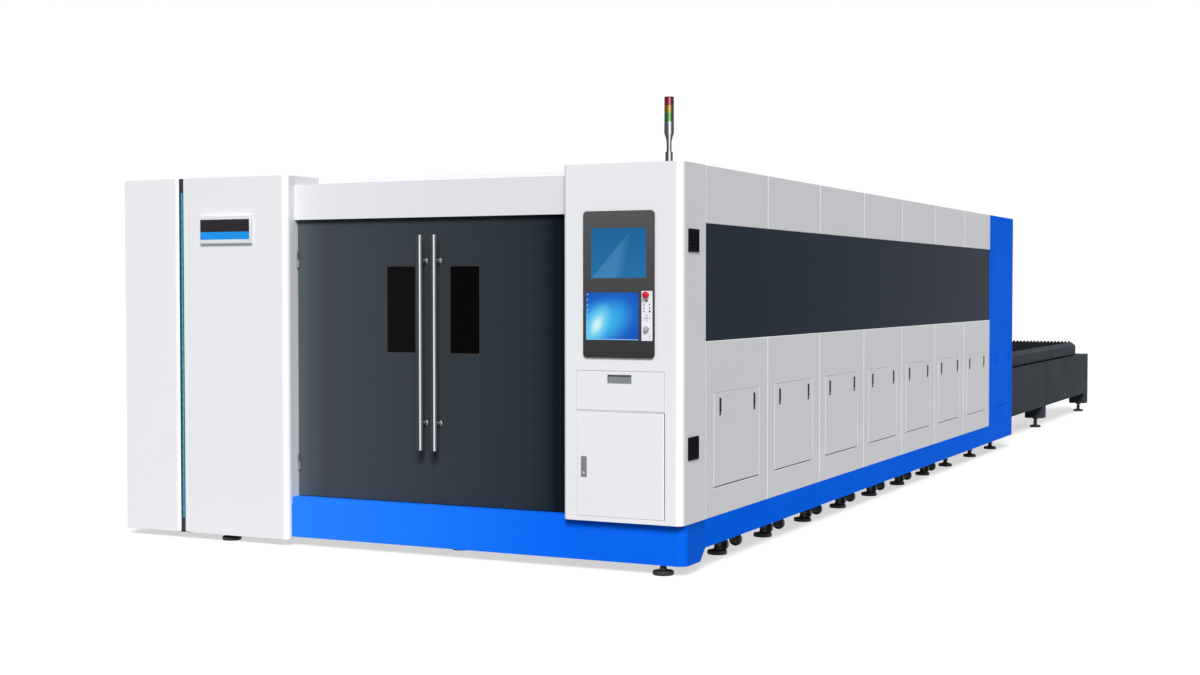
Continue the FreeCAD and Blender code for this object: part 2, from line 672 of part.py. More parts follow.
# ---------------------------------------------------------------------------
# Side walls: folded panels above and below a dark window band, and the skirts
# ---------------------------------------------------------------------------
def hatch_hole(name, start, depth):
    """Room for a hatch and its rolled hinge, with the gap all round."""
    return slab(name, "-1", depth, f"{start} - flap_gap", f"{start} + hatch_width + flap_gap",
                "hatch_bottom - hinge_radius - flap_gap",
                "hatch_bottom + hatch_height + flap_gap")


def wall(side, hatches):
    near, far = [(a, b) for name, a, b in both_sides("0", "panel_fold") if name == side][0]
    opening = "left" if side == "right" else "right"
    panels = []
    for index in MODULES:
        start, stop = f"{seam(index)} + seam_gap/2", f"{seam(index + 1)} - seam_gap/2"
        panels.append(tray(f"{side}_upper_panel_{index}", near, far, start, stop,
                           "stripe_top", "machine_height", opening))
        lower = tray(f"{side}_lower_panel_{index}", near, far, start, stop,
                     "skirt_top", "stripe_bottom", opening)
        if hatches:
            lower = cut(f"{side}_lower_panel_cut_{index}", lower,
                        [hatch_hole(f"hatch_hole_{index}", f"{seam(index)} + hatch_start",
                                    "panel_fold")])
        panels.append(lower)
    return group(f"{side}_wall", panels)


wall("right", True)
wall("left", False)

group("window_bands", [
    slab(f"band_pane_{side}_{index}", near, far, f"{seam(index)} + seam_gap/2",
         f"{seam(index + 1)} - seam_gap/2", "stripe_bottom", "stripe_top")
    for side, near, far in both_sides("stripe_inset", "stripe_inset + stripe_thick")
    for index in MODULES])

skirts = [tray(f"{side}_skirt", near, far, "first_seam", PORTAL_START, "skirt_bottom",
               "skirt_top", "left" if side == "right" else "right")
          for side, near, far in both_sides("0", "panel_fold")]
skirts[1] = cut("left_skirt_notched", skirts[1], [
    slab("outrigger_notch", left("panel_fold"), "body_width",
         "outrigger - bed_post_wide/2 - seam_gap", "outrigger + bed_post_wide/2 + seam_gap",
         "skirt_bottom", "bed_base + bed_foot_tall + seam_gap")])
group("side_skirts", skirts)

group("roof_panels", [
    tray(f"roof_panel_{index}", "panel_fold", left("panel_fold"), f"{seam(index)} + seam_gap/2",
         f"{seam(index + 1)} - seam_gap/2", FRAME_TOP, ROOF_TOP, "bottom") for index in MODULES])


# ---------------------------------------------------------------------------
# Rear portal: a welded sheet arch with the mouth that the pallets pass
# ---------------------------------------------------------------------------
portal_blank = slab("portal_blank", "0", "body_width", PORTAL_START, PORTAL_END,
                    "skirt_bottom", "machine_height")
portal_inside = slab("portal_inside", "portal_sheet", left("portal_sheet"), PORTAL_START,
                     f"{PORTAL_END} - portal_sheet", "skirt_bottom",
                     "machine_height - portal_sheet")
portal_mouth = slab("portal_mouth", BED_OUTER, left(BED_OUTER),
                    f"{PORTAL_END} - portal_sheet", PORTAL_END, "skirt_bottom", "mouth_top")
portal_sheets = cut("portal_sheets", portal_blank, [portal_inside, portal_mouth])
portal_cut = cut("portal_cut", portal_sheets, [
    hatch_hole("portal_hatch_hole", f"{PORTAL_START} + portal_hatch_start", "panel_fold")])
portal_ribs = []
for side, near, far in both_sides("portal_sheet", "panel_fold"):
    for place, start in (("front", PORTAL_START),
                         ("rear", f"({PORTAL_END} - portal_sheet - post_wide)")):
        portal_ribs.append(slab(f"portal_rib_{place}_{side}", near, far, start,
                                f"{start} + post_wide/2", "skirt_bottom",
                                "machine_height - portal_sheet"))
portal = join("rear_portal", [portal_cut] + portal_ribs)


# ---------------------------------------------------------------------------
# Service hatches: a folded tray with a rolled hinge along its lower edge, and two
# slim latches near its upper corners
# ---------------------------------------------------------------------------
def service_hatch(name, start):
    stop = f"{start} + hatch_width"
    leaf = tray(name + "_leaf", "0", "hatch_fold", start, stop, "hatch_bottom",
                "hatch_bottom + hatch_height", "left")
    hinge = rod(name + "_hinge", "hinge_radius", start, "hatch_bottom", "hinge_radius",
                "hatch_width", "back")
    pieces = [leaf, hinge]
    for place, y in (("front", f"{start} + latch_inset"), ("rear", f"{stop} - latch_inset")):
        top = "(hatch_bottom + hatch_height - latch_drop)"
        pieces.append(slab(f"{name}_latch_{place}", "-latch_proud", "0",
                           f"{y} - latch_wide/2", f"{y} + latch_wide/2",
                           f"{top} - latch_tall", top))
    return join(name, pieces)


for index in MODULES:
    service_hatch(f"service_hatch_{index + 1}", f"({seam(index)} + hatch_start)")
service_hatch("portal_hatch", f"({PORTAL_START} + portal_hatch_start)")


# ---------------------------------------------------------------------------
# Front: skirt, lintel, left cabinet front with its light channel, laser cabinet
# ---------------------------------------------------------------------------
SKIRT_BACK = "first_seam"
skirt = body("corner_skirt")
corner = pad(skirt, "corner_skirt_pad", outline(
    skirt, "corner_skirt_plan", "XY_Plane",
    rectangle(across("console_wide"), across("0"), deep("-front_skirt_face"), deep(SKIRT_BACK)),
    "front_skirt_bottom"), "console_bottom - front_skirt_bottom")
corner_x, corner_y = value(across("0")), value(deep("-front_skirt_face"))
rounded(skirt, "corner_skirt_round", corner, "skirt_round",
        lambda at, way: upright(way) and abs(at.x - corner_x) < 1 and abs(at.y - corner_y) < 1)
inner = body("corner_skirt_inside")
pad(inner, "corner_skirt_inside_pad", outline(
    inner, "corner_skirt_inside_plan", "XY_Plane", clipped(
        "console_wide", "sheet_thick", "sheet_thick - front_skirt_face", SKIRT_BACK,
        "skirt_round"), "front_skirt_bottom"),
    "console_bottom - sheet_thick - front_skirt_bottom")
slope = body("skirt_slope")
pad(slope, "skirt_slope_pad", outline(
    slope, "skirt_slope_side", "YZ_Plane",
    [(deep(f"{SKIRT_BACK} - skirt_slope"), "front_skirt_bottom"),
     (deep(SKIRT_BACK), "front_skirt_bottom"), (deep(SKIRT_BACK), "skirt_bottom")],
    across("panel_fold")), "panel_fold")
door_skirt = tray("door_skirt", "console_wide", "door_left_edge", "-front_skirt_face",
                  SKIRT_BACK, "front_skirt_bottom", "front_skirt_top", "back bottom right left")
front_inside = cut("corner_skirt_cut", skirt, [inner, slope])
join("front_skirt", [front_inside, door_skirt])

tray("door_lintel", "door_right_edge", "door_left_edge", "-lintel_face", "first_seam",
     "lintel_bottom", "lintel_top", "back bottom")

facade = body("left_front_sheet")
FACADE_LEFT, FACADE_RIGHT = "machine_width", "door_left_edge"
channel_far = "(channel_start + channel_wide)"
front_plan = outline(facade, "left_front_plan", "XY_Plane", [
    (across(FACADE_LEFT), deep("first_seam")), (across(FACADE_LEFT), deep("-facade_face")),
    (across(f"{channel_far} + channel_flank"), deep("-facade_face")),
    (across(channel_far), deep("bevel_drop - facade_face")),
    (across(channel_far), deep("channel_deep - facade_face")),
    (across("channel_start"), deep("channel_deep - facade_face")),
    (across("channel_start"), deep("bevel_drop - facade_face")),
    (across("bevel_end + bevel_wide"), deep("bevel_drop - facade_face")),
    (across("bevel_end"), deep("-facade_face")), (across(FACADE_RIGHT), deep("-facade_face")),
    (across(FACADE_RIGHT), deep("first_seam"))], "facade_bottom")
front_pad = pad(facade, "left_front_pad", front_plan, "machine_height - facade_bottom")
edge_x, edge_y = value(across(FACADE_RIGHT)), value(deep("-facade_face"))
rounded(facade, "left_front_round", front_pad, "facade_round",
        lambda at, way: upright(way) and abs(at.x - edge_x) < 1 and abs(at.y - edge_y) < 1)
SHEET_IN = "(facade_face - sheet_thick)"
hollow = outline(facade, "left_front_hollow_plan", "XY_Plane", [
    (across(f"{FACADE_LEFT} - sheet_thick"), deep("first_seam")),
    (across(f"{FACADE_LEFT} - sheet_thick"), deep(f"-{SHEET_IN}")),
    (across(f"{channel_far} + channel_flank + sheet_thick"), deep(f"-{SHEET_IN}")),
    (across(f"{channel_far} + sheet_thick"), deep(f"bevel_drop - {SHEET_IN}")),
    (across(f"{channel_far} + sheet_thick"), deep(f"channel_deep - {SHEET_IN}")),
    (across("channel_start - sheet_thick"), deep(f"channel_deep - {SHEET_IN}")),
    (across("channel_start - sheet_thick"), deep(f"bevel_drop - {SHEET_IN}")),
    (across("bevel_end + bevel_wide - sheet_thick"), deep(f"bevel_drop - {SHEET_IN}")),
    (across("bevel_end - sheet_thick"), deep(f"-{SHEET_IN}")),
    (across(f"{FACADE_RIGHT} + facade_round"), deep(f"-{SHEET_IN}")),
    (across(f"{FACADE_RIGHT} + sheet_thick"), deep("facade_round - facade_face")),
    (across(f"{FACADE_RIGHT} + sheet_thick"), deep("first_seam"))], "facade_bottom")
pocket(facade, "left_front_hollow", hollow, "machine_height - facade_bottom - sheet_thick", True)

CHANNEL_FACE = "(bevel_drop - facade_face)"
channel = slab("light_channel_blank", "channel_start", channel_far, CHANNEL_FACE,
               "channel_deep - facade_face", "facade_bottom", "machine_height")
FRONT_TUBE_END = "(front_tube_start + front_tube_wide)"
notched = cut("left_front_notched", facade, [
    slab("front_tube_notch", FACADE_RIGHT, f"{FACADE_RIGHT} + sheet_thick",
         "front_tube_start - seam_gap", f"{FRONT_TUBE_END} + seam_gap", "facade_bottom",
         "bed_base + bed_foot_tall + seam_gap")])
strip_near = "(channel_start + (channel_wide - strip_wide)/2)"
strip_box = [strip_near, f"{strip_near} + strip_wide", CHANNEL_FACE,
             f"{CHANNEL_FACE} + strip_deep", "facade_bottom + channel_end",
             "machine_height - channel_end"]
cut("light_channel", channel, [slab("light_groove", *strip_box)])
strip_box[2] = f"{CHANNEL_FACE} + stripe_inset"
slab("light_strip", *strip_box)

plate = body("blank_plate")
plate_pad = pad(plate, "blank_plate_pad", outline(
    plate, "blank_plate_front", "XZ_Plane",
    rectangle(across("plate_start + plate_wide"), across("plate_start"), "plate_bottom",
              "plate_bottom + plate_tall"), f"-{deep('-facade_face')}"), "plate_thick")
plate_y = value(deep("-facade_face - plate_thick"))
rounded(plate, "blank_plate_round", plate_pad, "plate_thick/2",
        lambda at, way: abs(at.y - plate_y) < 1)

tray("laser_cabinet", "body_width", "machine_width", "first_seam", "laser_end",
     "bed_base + bed_foot_tall", "machine_height", "right")


# ---------------------------------------------------------------------------
# Doors: two swing leaves with a window, a pull bar and three hinges each
# ---------------------------------------------------------------------------
DOOR_BACK = "(door_thick - door_face)"
DOOR_LOW = "(front_skirt_top + door_gap)"
DOOR_HIGH = "(lintel_bottom - door_gap)"
HINGE_Y = "(-door_face - knuckle_radius - knuckle_gap)"
HINGE_LEVELS = (520, 1780)


def door(side, near, far, hinge_station, sign):
    """One leaf; sign is +1 where the leaf runs to the left of its hinge."""
    meeting = f"(door_meeting - {sign}*window_offset)"
    leaf = tray(f"{side}_leaf", near, far, "-door_face", DOOR_BACK, DOOR_LOW, DOOR_HIGH, "back")
    box = [f"{meeting} - window_wide/2", f"{meeting} + window_wide/2", "-door_face",
           f"{DOOR_BACK}", "window_bottom", "window_top"]
    rim = slab(f"{side}_window_rim", f"{box[0]} - door_thick/2", f"{box[1]} + door_thick/2",
               "sheet_thick - door_face", "sheet_thick + glass_thick - door_face",
               "window_bottom - door_thick/2", "window_top + door_thick/2")
    hole = slab(f"{side}_window_hole", *box)
    framed = cut(f"{side}_leaf_framed", join(f"{side}_leaf_rim", [leaf, rim]), [hole])
    knuckles = []
    for index, level in enumerate(HINGE_LEVELS):
        knuckles.append(rod(f"{side}_knuckle_{index}", hinge_station, HINGE_Y, str(level),
                            "knuckle_radius", "knuckle_tall"))
        wing = f"{hinge_station} + {sign}*knuckle_radius*4"
        low, high = (hinge_station, wing) if sign > 0 else (wing, hinge_station)
        knuckles.append(slab(f"{side}_wing_{index}", low, high,
                             "-door_face - sheet_thick", "-door_face", str(level),
                             f"{level} + knuckle_tall"))
    join(f"{side}_door", [framed] + knuckles)
    box[2], box[3] = "sheet_thick - door_face", "sheet_thick + glass_thick - door_face"
    slab(f"{side}_window", *box)
    bar_a = f"(door_meeting - {sign}*handle_offset)"
    bar_y = "(-door_face - handle_reach)"
    bar = prism(f"{side}_bar", bar_a, bar_y, "handle_bottom", "handle_radius",
                "handle_top - handle_bottom", 20)
    standoffs = [prism(f"{side}_standoff_{level}", bar_a, "-door_face", f"standoff_{level}",
                       "standoff_radius", "handle_reach", 8, "front")
                 for level in ("low", "high")]
    join(f"{side}_handle", [bar] + standoffs)


RIGHT_HINGE = "(door_right_edge + door_gap + knuckle_inset)"
LEFT_HINGE = "(door_left_edge - door_gap - knuckle_inset)"
door("right", "door_right_edge + door_gap", "door_meeting - door_gap/2", RIGHT_HINGE, 1)
door("left", "door_meeting + door_gap/2", "door_left_edge - door_gap", LEFT_HINGE, -1)

def hinge_halves(side, hinge, jamb):
    """The fixed barrel under each barrel of a leaf, on a wing welded to the jamb."""
    low, high = (jamb, hinge) if side == "right" else (hinge, jamb)
    halves = []
    for index, level in enumerate(HINGE_LEVELS):
        base = f"{level} - knuckle_tall - slide_play"
        halves.append(prism(f"{side}_fixed_barrel_{index}", hinge, HINGE_Y, base,
                            "knuckle_radius", "knuckle_tall", 12))
        halves.append(slab(f"{side}_fixed_wing_{index}", low, high,
                           f"{HINGE_Y} - sheet_thick/2", f"{HINGE_Y} + sheet_thick/2", base,
                           f"{base} + knuckle_tall"))
    return halves


join("left_front", [notched] + hinge_halves("left", LEFT_HINGE, "door_left_edge"))


# ---------------------------------------------------------------------------
# Console cabinet: a sheet box with three bays, a bezel, screens and buttons
# ---------------------------------------------------------------------------
console = body("console_sheet")
console_pad = pad(console, "console_pad", outline(
    console, "console_plan", "XY_Plane",
    rectangle(across("console_wide"), across("0"), deep("-facade_face"), deep("first_seam")),
    "console_bottom"), "machine_height - console_bottom")
front_y = value(deep("-facade_face"))
rounded(console, "console_round_edges", console_pad, "console_round",
        lambda at, way: upright(way) and abs(at.y - front_y) < 1)
SHELVES = ("(drawer_bottom - flap_gap - shelf_thick)",
           "(drawer_bottom + drawer_tall + flap_gap)")
bays = (("low", "console_bottom + console_wall", SHELVES[0]),
        ("middle", f"{SHELVES[0]} + shelf_thick", SHELVES[1]),
        ("high", f"{SHELVES[1]} + shelf_thick", "machine_height - console_wall"))
tools = []
for place, low, high in bays:
    bay = body(f"console_bay_{place}")
    pad(bay, f"console_bay_pad_{place}", outline(
        bay, f"console_bay_plan_{place}", "XY_Plane", clipped(
            "console_wide - console_wall", "console_wall", "console_wall - facade_face",
            "first_seam - console_wall", "console_round", 2), low), f"({high}) - ({low})")
    tools.append(bay)
tools.append(slab("locker_hole", "locker_start - hinge_radius - flap_gap",
                  "locker_start + locker_wide + flap_gap", "-facade_face", "console_wall - facade_face",
                  "locker_bottom - flap_gap", "locker_bottom + locker_tall"))
tools.append(slab("drawer_hole", "drawer_start - flap_gap",
                  "drawer_start + drawer_wide + flap_gap", "-facade_face", "console_wall - facade_face",
                  "drawer_bottom - flap_gap", "drawer_bottom + drawer_tall + flap_gap"))
for place in ("upper", "lower"):
    tools.append(slab(f"{place}_screen_hole", f"{place}_screen_start",
                      f"{place}_screen_start + {place}_screen_wide", "-facade_face",
                      "console_wall - facade_face", f"{place}_screen_bottom",
                      f"{place}_screen_bottom + {place}_screen_tall"))
tools.append(slab("buttons_hole", "buttons_start", "buttons_start + buttons_wide",
                  "-facade_face", "console_wall - facade_face", "buttons_bottom",
                  "buttons_bottom + buttons_tall"))
console_bays = cut("console_bays", console, tools)
RUNNER_TOP = "(drawer_bottom + tray_up)"
runners = []
for place, near, far in (
        ("near", "console_wall", "drawer_start + tray_narrow + runner_wide"),
        ("far", "drawer_start + drawer_wide - tray_narrow - runner_wide",
         "console_wide - console_wall")):
    runners.append(slab(f"runner_{place}", near, far, "drawer_front_thick + 8 - facade_face",
                        "first_seam - console_wall", f"{RUNNER_TOP} - shelf_thick*2",
                        f"{RUNNER_TOP} - slide_play"))
join("console_cabinet", [console_bays] + runners
     + hinge_halves("right", RIGHT_HINGE, "door_right_edge"))

FACE = "(-facade_face)"
bezel = body("bezel_blank")
bezel_pad = pad(bezel, "bezel_pad", outline(
    bezel, "bezel_front", "XZ_Plane",
    rectangle(across("bezel_start + bezel_wide"), across("bezel_start"), "bezel_bottom",
              "bezel_bottom + bezel_tall"), f"-{deep(FACE)}"), "bezel_proud")
rounded(bezel, "bezel_corners", bezel_pad, "bezel_round",
        lambda at, way: abs(way.y) > 0.99)
bezel_holes = []
for place in ("upper", "lower"):
    bezel_holes.append(slab(f"{place}_bezel_hole", f"{place}_screen_start",
                            f"{place}_screen_start + {place}_screen_wide",
                            "-facade_face - bezel_proud", FACE, f"{place}_screen_bottom",
                            f"{place}_screen_bottom + {place}_screen_tall"))
bezel_holes.append(slab("buttons_bezel_hole", "buttons_start", "buttons_start + buttons_wide",
                        "-facade_face - bezel_proud", FACE, "buttons_bottom",
                        "buttons_bottom + buttons_tall"))
cut("screen_bezel", bezel, bezel_holes)

for place in ("upper", "lower"):
    slab(f"{place}_screen", f"{place}_screen_start", f"{place}_screen_start + {place}_screen_wide",
         "-facade_face - bezel_proud + screen_sunk", "-facade_face + screen_deep",
         f"{place}_screen_bottom", f"{place}_screen_bottom + {place}_screen_tall")

PANEL_FACE = "(-facade_face - bezel_proud - panel_proud)"
PANEL_MIDDLE = "(buttons_start + buttons_wide/2)"
LEFT_ROW = f"{PANEL_MIDDLE} + button_pair/2"
RIGHT_ROW = f"{PANEL_MIDDLE} - button_pair/2"
START = (LEFT_ROW, "buttons_bottom + upper_row_up")
CAPS = (("reset", PANEL_MIDDLE, "reset_up"), ("pause", RIGHT_ROW, "upper_row_up"),
        ("up", LEFT_ROW, "middle_row_up"), ("down", RIGHT_ROW, "middle_row_up"),
        ("light", RIGHT_ROW, "lower_row_up"))
panel_blank = slab("button_panel_blank", "buttons_start", "buttons_start + buttons_wide",
                   PANEL_FACE, f"{PANEL_FACE} + panel_deep", "buttons_bottom",
                   "buttons_bottom + buttons_tall")
panel_holes = [prism(f"{name}_hole", a, PANEL_FACE, up, f"{radius} + button_play*2",
                     "panel_deep", 12, "back")
               for name, a, up, radius in (("stop", PANEL_MIDDLE, "stop_up", "shank_radius"),
                                           ("knob", PANEL_MIDDLE, "knob_up", "shank_radius"),
                                           ("start", *START, "button_radius"))]
caps = [slab(f"{name}_key", f"{a} - button_radius", f"{a} + button_radius",
             f"{PANEL_FACE} - button_tall/2", PANEL_FACE,
             f"buttons_bottom + {up} - button_radius", f"buttons_bottom + {up} + button_radius")
        for name, a, up in CAPS]
join("button_panel", [cut("button_panel_drilled", panel_blank, panel_holes)] + caps)


PANEL_BACK = f"{PANEL_FACE} + panel_deep"
STOP_BASE = f"{PANEL_FACE} - stop_travel - 3"
join("stop_button", [
    prism("stop_shank", PANEL_MIDDLE, PANEL_BACK, "stop_up", "shank_radius",
          "panel_deep + stop_travel + 3", 12, "front"),
    prism("stop_neck", PANEL_MIDDLE, STOP_BASE, "stop_up", "stop_radius*0.7",
          "stop_tall*0.55 - stop_travel - 3", 12, "front"),
    prism("stop_head", PANEL_MIDDLE, f"{PANEL_FACE} - stop_tall*0.55", "stop_up",
          "stop_radius", "stop_tall*0.45", 24, "front")])
join("feed_knob", [
    prism("knob_shank", PANEL_MIDDLE, PANEL_BACK, "knob_up", "shank_radius",
          "panel_deep + slide_play", 12, "front"),
    rod("knob_head", PANEL_MIDDLE, f"{PANEL_FACE} - slide_play", "knob_up", "knob_radius",
        "knob_tall - slide_play", "front")])
prism("start_button", START[0], f"{PANEL_FACE} + panel_deep", START[1], "button_radius",
      "panel_deep + button_tall", 12, "front")


# ---------------------------------------------------------------------------
# Keyboard drawer, console door and their hardware
# ---------------------------------------------------------------------------
drawer_far = "(drawer_start + drawer_wide)"
drawer_front = slab("drawer_front_blank", "drawer_start", drawer_far, FACE,
                    f"{FACE} + drawer_front_thick", "drawer_bottom",
                    "drawer_bottom + drawer_tall")
tray_low = "(drawer_bottom + tray_up)"
drawer_tray = tray("drawer_tray", "drawer_start + tray_narrow", f"{drawer_far} - tray_narrow",
                   f"{FACE} + drawer_front_thick", f"{FACE} + drawer_deep", tray_low,
                   f"{tray_low} + drawer_side", "top")
pull_box = ["pull_start", "pull_start + pull_wide", FACE, f"{FACE} + pull_deep", "pull_bottom",
            "pull_bottom + pull_tall"]
cut("keyboard_drawer", join("drawer_welded", [drawer_front, drawer_tray]),
    [slab("pull_hole", *pull_box)])
tray("drawer_pull", *pull_box, "front")
keyboard = body("keyboard")
pad(keyboard, "keyboard_pad", outline(
    keyboard, "keyboard_side", "YZ_Plane",
    [(deep(f"{FACE} + 70"), f"{tray_low} + sheet_thick"),
     (deep(f"{FACE} + 70 + keyboard_deep"), f"{tray_low} + sheet_thick"),
     (deep(f"{FACE} + 70 + keyboard_deep"), f"{tray_low} + sheet_thick + keyboard_tall"),
     (deep(f"{FACE} + 70"), f"{tray_low} + sheet_thick + keyboard_tall/2")],
    across("drawer_start + (drawer_wide + keyboard_wide)/2")), "keyboard_wide")

locker_leaf = tray("locker_leaf", "locker_start + hinge_radius", "locker_start + locker_wide",
                   FACE, f"{FACE} + hatch_fold", "locker_bottom",
                   "locker_bottom + locker_tall - flap_gap", "back")
locker_hinge = rod("locker_hinge", "locker_start + hinge_radius", f"{FACE} + hinge_radius",
                   "locker_bottom", "hinge_radius", "locker_tall - flap_gap")
grip_box = ["grip_start", "grip_start + grip_wide", FACE, f"{FACE} + grip_thick",
            "grip_bottom", "grip_bottom + grip_tall"]
grip_dish = tray("grip_dish", "grip_start - sheet_thick", "grip_start + grip_wide + sheet_thick",
                 FACE, f"{FACE} + hatch_fold", "grip_bottom - sheet_thick",
                 "grip_bottom + grip_tall + sheet_thick", "front")
grip_hole = slab("grip_hole", *grip_box)
locker_plate = cut("locker_plate", join("locker_welded", [locker_leaf, locker_hinge]),
                   [grip_hole])
join("console_door", [locker_plate, grip_dish])
GRIP_PLAY = "flap_gap/2"
paddle = slab("paddle", f"grip_start + {GRIP_PLAY}", f"grip_start + grip_wide - {GRIP_PLAY}",
              FACE, f"{FACE} + grip_thick/2", f"grip_bottom + {GRIP_PLAY}",
              f"grip_bottom + grip_tall - hinge_radius - {GRIP_PLAY}")
paddle_hinge = rod("paddle_hinge", f"grip_start + grip_wide - {GRIP_PLAY}",
                   f"{FACE} + grip_thick/2", f"grip_bottom + grip_tall - hinge_radius - {GRIP_PLAY}",
                   "grip_thick/2", f"grip_wide - 2*{GRIP_PLAY}", "right")
join("door_latch", [paddle, paddle_hinge])


def side_filter(name, low):
    """A fan filter: a frame with level louvre slots."""
    blank = slab(name + "_blank", "-filter_thick", "0", "filter_start",
                 "filter_start + filter_long", low, f"{low} + filter_tall")
    slots = [slab(f"{name}_slot_{index}", "-filter_thick", "-filter_thick/3",
                  "filter_start + 12", "filter_start + filter_long - 12",
                  f"{low} + filter_tall*{0.12 + 0.16*index}",
                  f"{low} + filter_tall*{0.20 + 0.16*index}") for index in range(5)]
    return cut(name, blank, slots)


group("side_filters", [side_filter("upper_filter", "filter_high"),
                       side_filter("lower_filter", "filter_low")])


# ---------------------------------------------------------------------------
# Signal tower on the console cabinet
# ---------------------------------------------------------------------------
join("beacon_post", [
    prism("beacon_collar_piece", "beacon_across", "0", "machine_height", "beacon_collar",
          "collar_top - machine_height", 12),
    prism("beacon_pole_piece", "beacon_across", "0", "collar_top", "beacon_pole",
          "taper_low - collar_top", 12),
    tapered("beacon_taper", "beacon_across", "0", "taper_low", "beacon_pole", "beacon_radius",
            "taper_top - taper_low"),
    prism("beacon_base", "beacon_across", "0", "taper_top", "beacon_radius",
          "lamp_bottom - taper_top", 12)])
for name, low, high in (("green", "lamp_bottom", "green_top"),
                        ("amber", "green_top", "amber_top"), ("red", "amber_top", "beacon_top")):
    prism(f"beacon_{name}", "beacon_across", "0", low, "beacon_radius", f"{high} - {low}", 12)


# ---------------------------------------------------------------------------
# Gantry, head carriage, lift and cutting head
# ---------------------------------------------------------------------------
TRUCK_LOW = "(bed_top + rail_tall + slide_play)"
BEAM_LOW = f"({TRUCK_LOW} + truck_tall)"
BEAM_HIGH = f"({BEAM_LOW} + gantry_tall)"
BEAM_FRONT = "(gantry_park - gantry_wide/2)"
BEAM_END = f"({BED_OUTER} + gantry_inset)"
beam = body("gantry_tube")
pad(beam, "gantry_tube_pad", outline(
    beam, "gantry_section", "YZ_Plane",
    rectangle(deep(BEAM_FRONT), deep(f"{BEAM_FRONT} + gantry_wide"), BEAM_LOW, BEAM_HIGH),
    across(left(BEAM_END))), f"{left(BEAM_END)} - {BEAM_END}")
pocket(beam, "gantry_tube_hollow", outline(
    beam, "gantry_hollow_section", "YZ_Plane",
    rectangle(deep(f"{BEAM_FRONT} + gantry_wall"),
              deep(f"{BEAM_FRONT} + gantry_wide - gantry_wall"), f"{BEAM_LOW} + gantry_wall",
              f"{BEAM_HIGH} - gantry_wall"),
    across(left(BEAM_END))), f"{left(BEAM_END)} - {BEAM_END}", True)
gantry_pieces = [beam]
for side, near, far in both_sides(BEAM_END, f"{BEAM_END} + truck_wide"):
    gantry_pieces.append(slab(f"truck_{side}", near, far, "gantry_park - truck_long/2",
                              "gantry_park + truck_long/2", TRUCK_LOW, BEAM_LOW))
RAIL_LEVELS = (f"({BEAM_LOW} + gantry_tall*0.18)", f"({BEAM_LOW} + gantry_tall*0.75)")
for index, level in enumerate(RAIL_LEVELS):
    gantry_pieces.append(slab(f"beam_rail_{index}", f"{BEAM_END} + truck_wide",
                              left(f"{BEAM_END} + truck_wide"), f"{BEAM_FRONT} - beam_rail_deep",
                              BEAM_FRONT, level, f"{level} + beam_rail_tall"))
join("gantry_beam", gantry_pieces)

MIDDLE = "(body_width/2)"
PLATE_BACK = f"({BEAM_FRONT} - beam_rail_deep - slide_play)"
PLATE_FRONT = f"({PLATE_BACK} - carriage_thick)"
CARRIAGE_LOW = f"({BEAM_LOW} - 20)"
carriage = [slab("carriage_plate", f"{MIDDLE} - carriage_wide/2", f"{MIDDLE} + carriage_wide/2",
                 PLATE_FRONT, PLATE_BACK, CARRIAGE_LOW, f"{CARRIAGE_LOW} + carriage_tall")]
for index, level in enumerate(RAIL_LEVELS):
    for place, low, high in (("under", f"{level} - 14 - slide_play", f"{level} - slide_play"),
                             ("over", f"{level} + beam_rail_tall + slide_play",
                              f"{level} + beam_rail_tall + slide_play + 14")):
        carriage.append(slab(f"carriage_shoe_{index}_{place}", f"{MIDDLE} - carriage_wide/2",
                             f"{MIDDLE} + carriage_wide/2", PLATE_BACK,
                             f"{BEAM_FRONT} - slide_play*4", low, high))
for place, sign in (("right", -1), ("left", 1)):
    centre = f"({MIDDLE} + {sign}*lift_wide*0.36)"
    carriage.append(slab(f"lift_rail_{place}", f"{centre} - 10", f"{centre} + 10",
                         f"{PLATE_FRONT} - 14", PLATE_FRONT, CARRIAGE_LOW,
                         f"{CARRIAGE_LOW} + carriage_tall"))
join("head_carriage", carriage)

LIFT_BACK = f"({PLATE_FRONT} - 14 - slide_play)"
LIFT_FRONT = f"({LIFT_BACK} - lift_thick)"
HEAD_MIDDLE = f"({LIFT_FRONT} - head_wide/2)"
LIFT_LOW = "(head_tip + nozzle_tall + barrel_tall)"
slab("lift_slide", f"{MIDDLE} - lift_wide/2", f"{MIDDLE} + lift_wide/2", LIFT_FRONT, LIFT_BACK,
     LIFT_LOW, f"{LIFT_LOW} + lift_tall")
housing = slab("head_housing", f"{MIDDLE} - head_wide/2", f"{MIDDLE} + head_wide/2",
               f"{LIFT_FRONT} - head_wide", LIFT_FRONT, LIFT_LOW, f"{LIFT_LOW} + head_tall")
spindle = join("head_spindle", [
    tapered("nozzle_tip", MIDDLE, HEAD_MIDDLE, "head_tip", "nozzle_radius", "nozzle_radius*3",
            "nozzle_tall"),
    prism("focusing_barrel", MIDDLE, HEAD_MIDDLE, "head_tip + nozzle_tall", "barrel_radius",
          "barrel_tall", 16)])
collimator = prism("head_collimator", MIDDLE, HEAD_MIDDLE, f"{LIFT_LOW} + head_tall",
                   "barrel_radius*0.8", "barrel_tall", 12)
join("cutting_head", [housing, spindle, collimator])


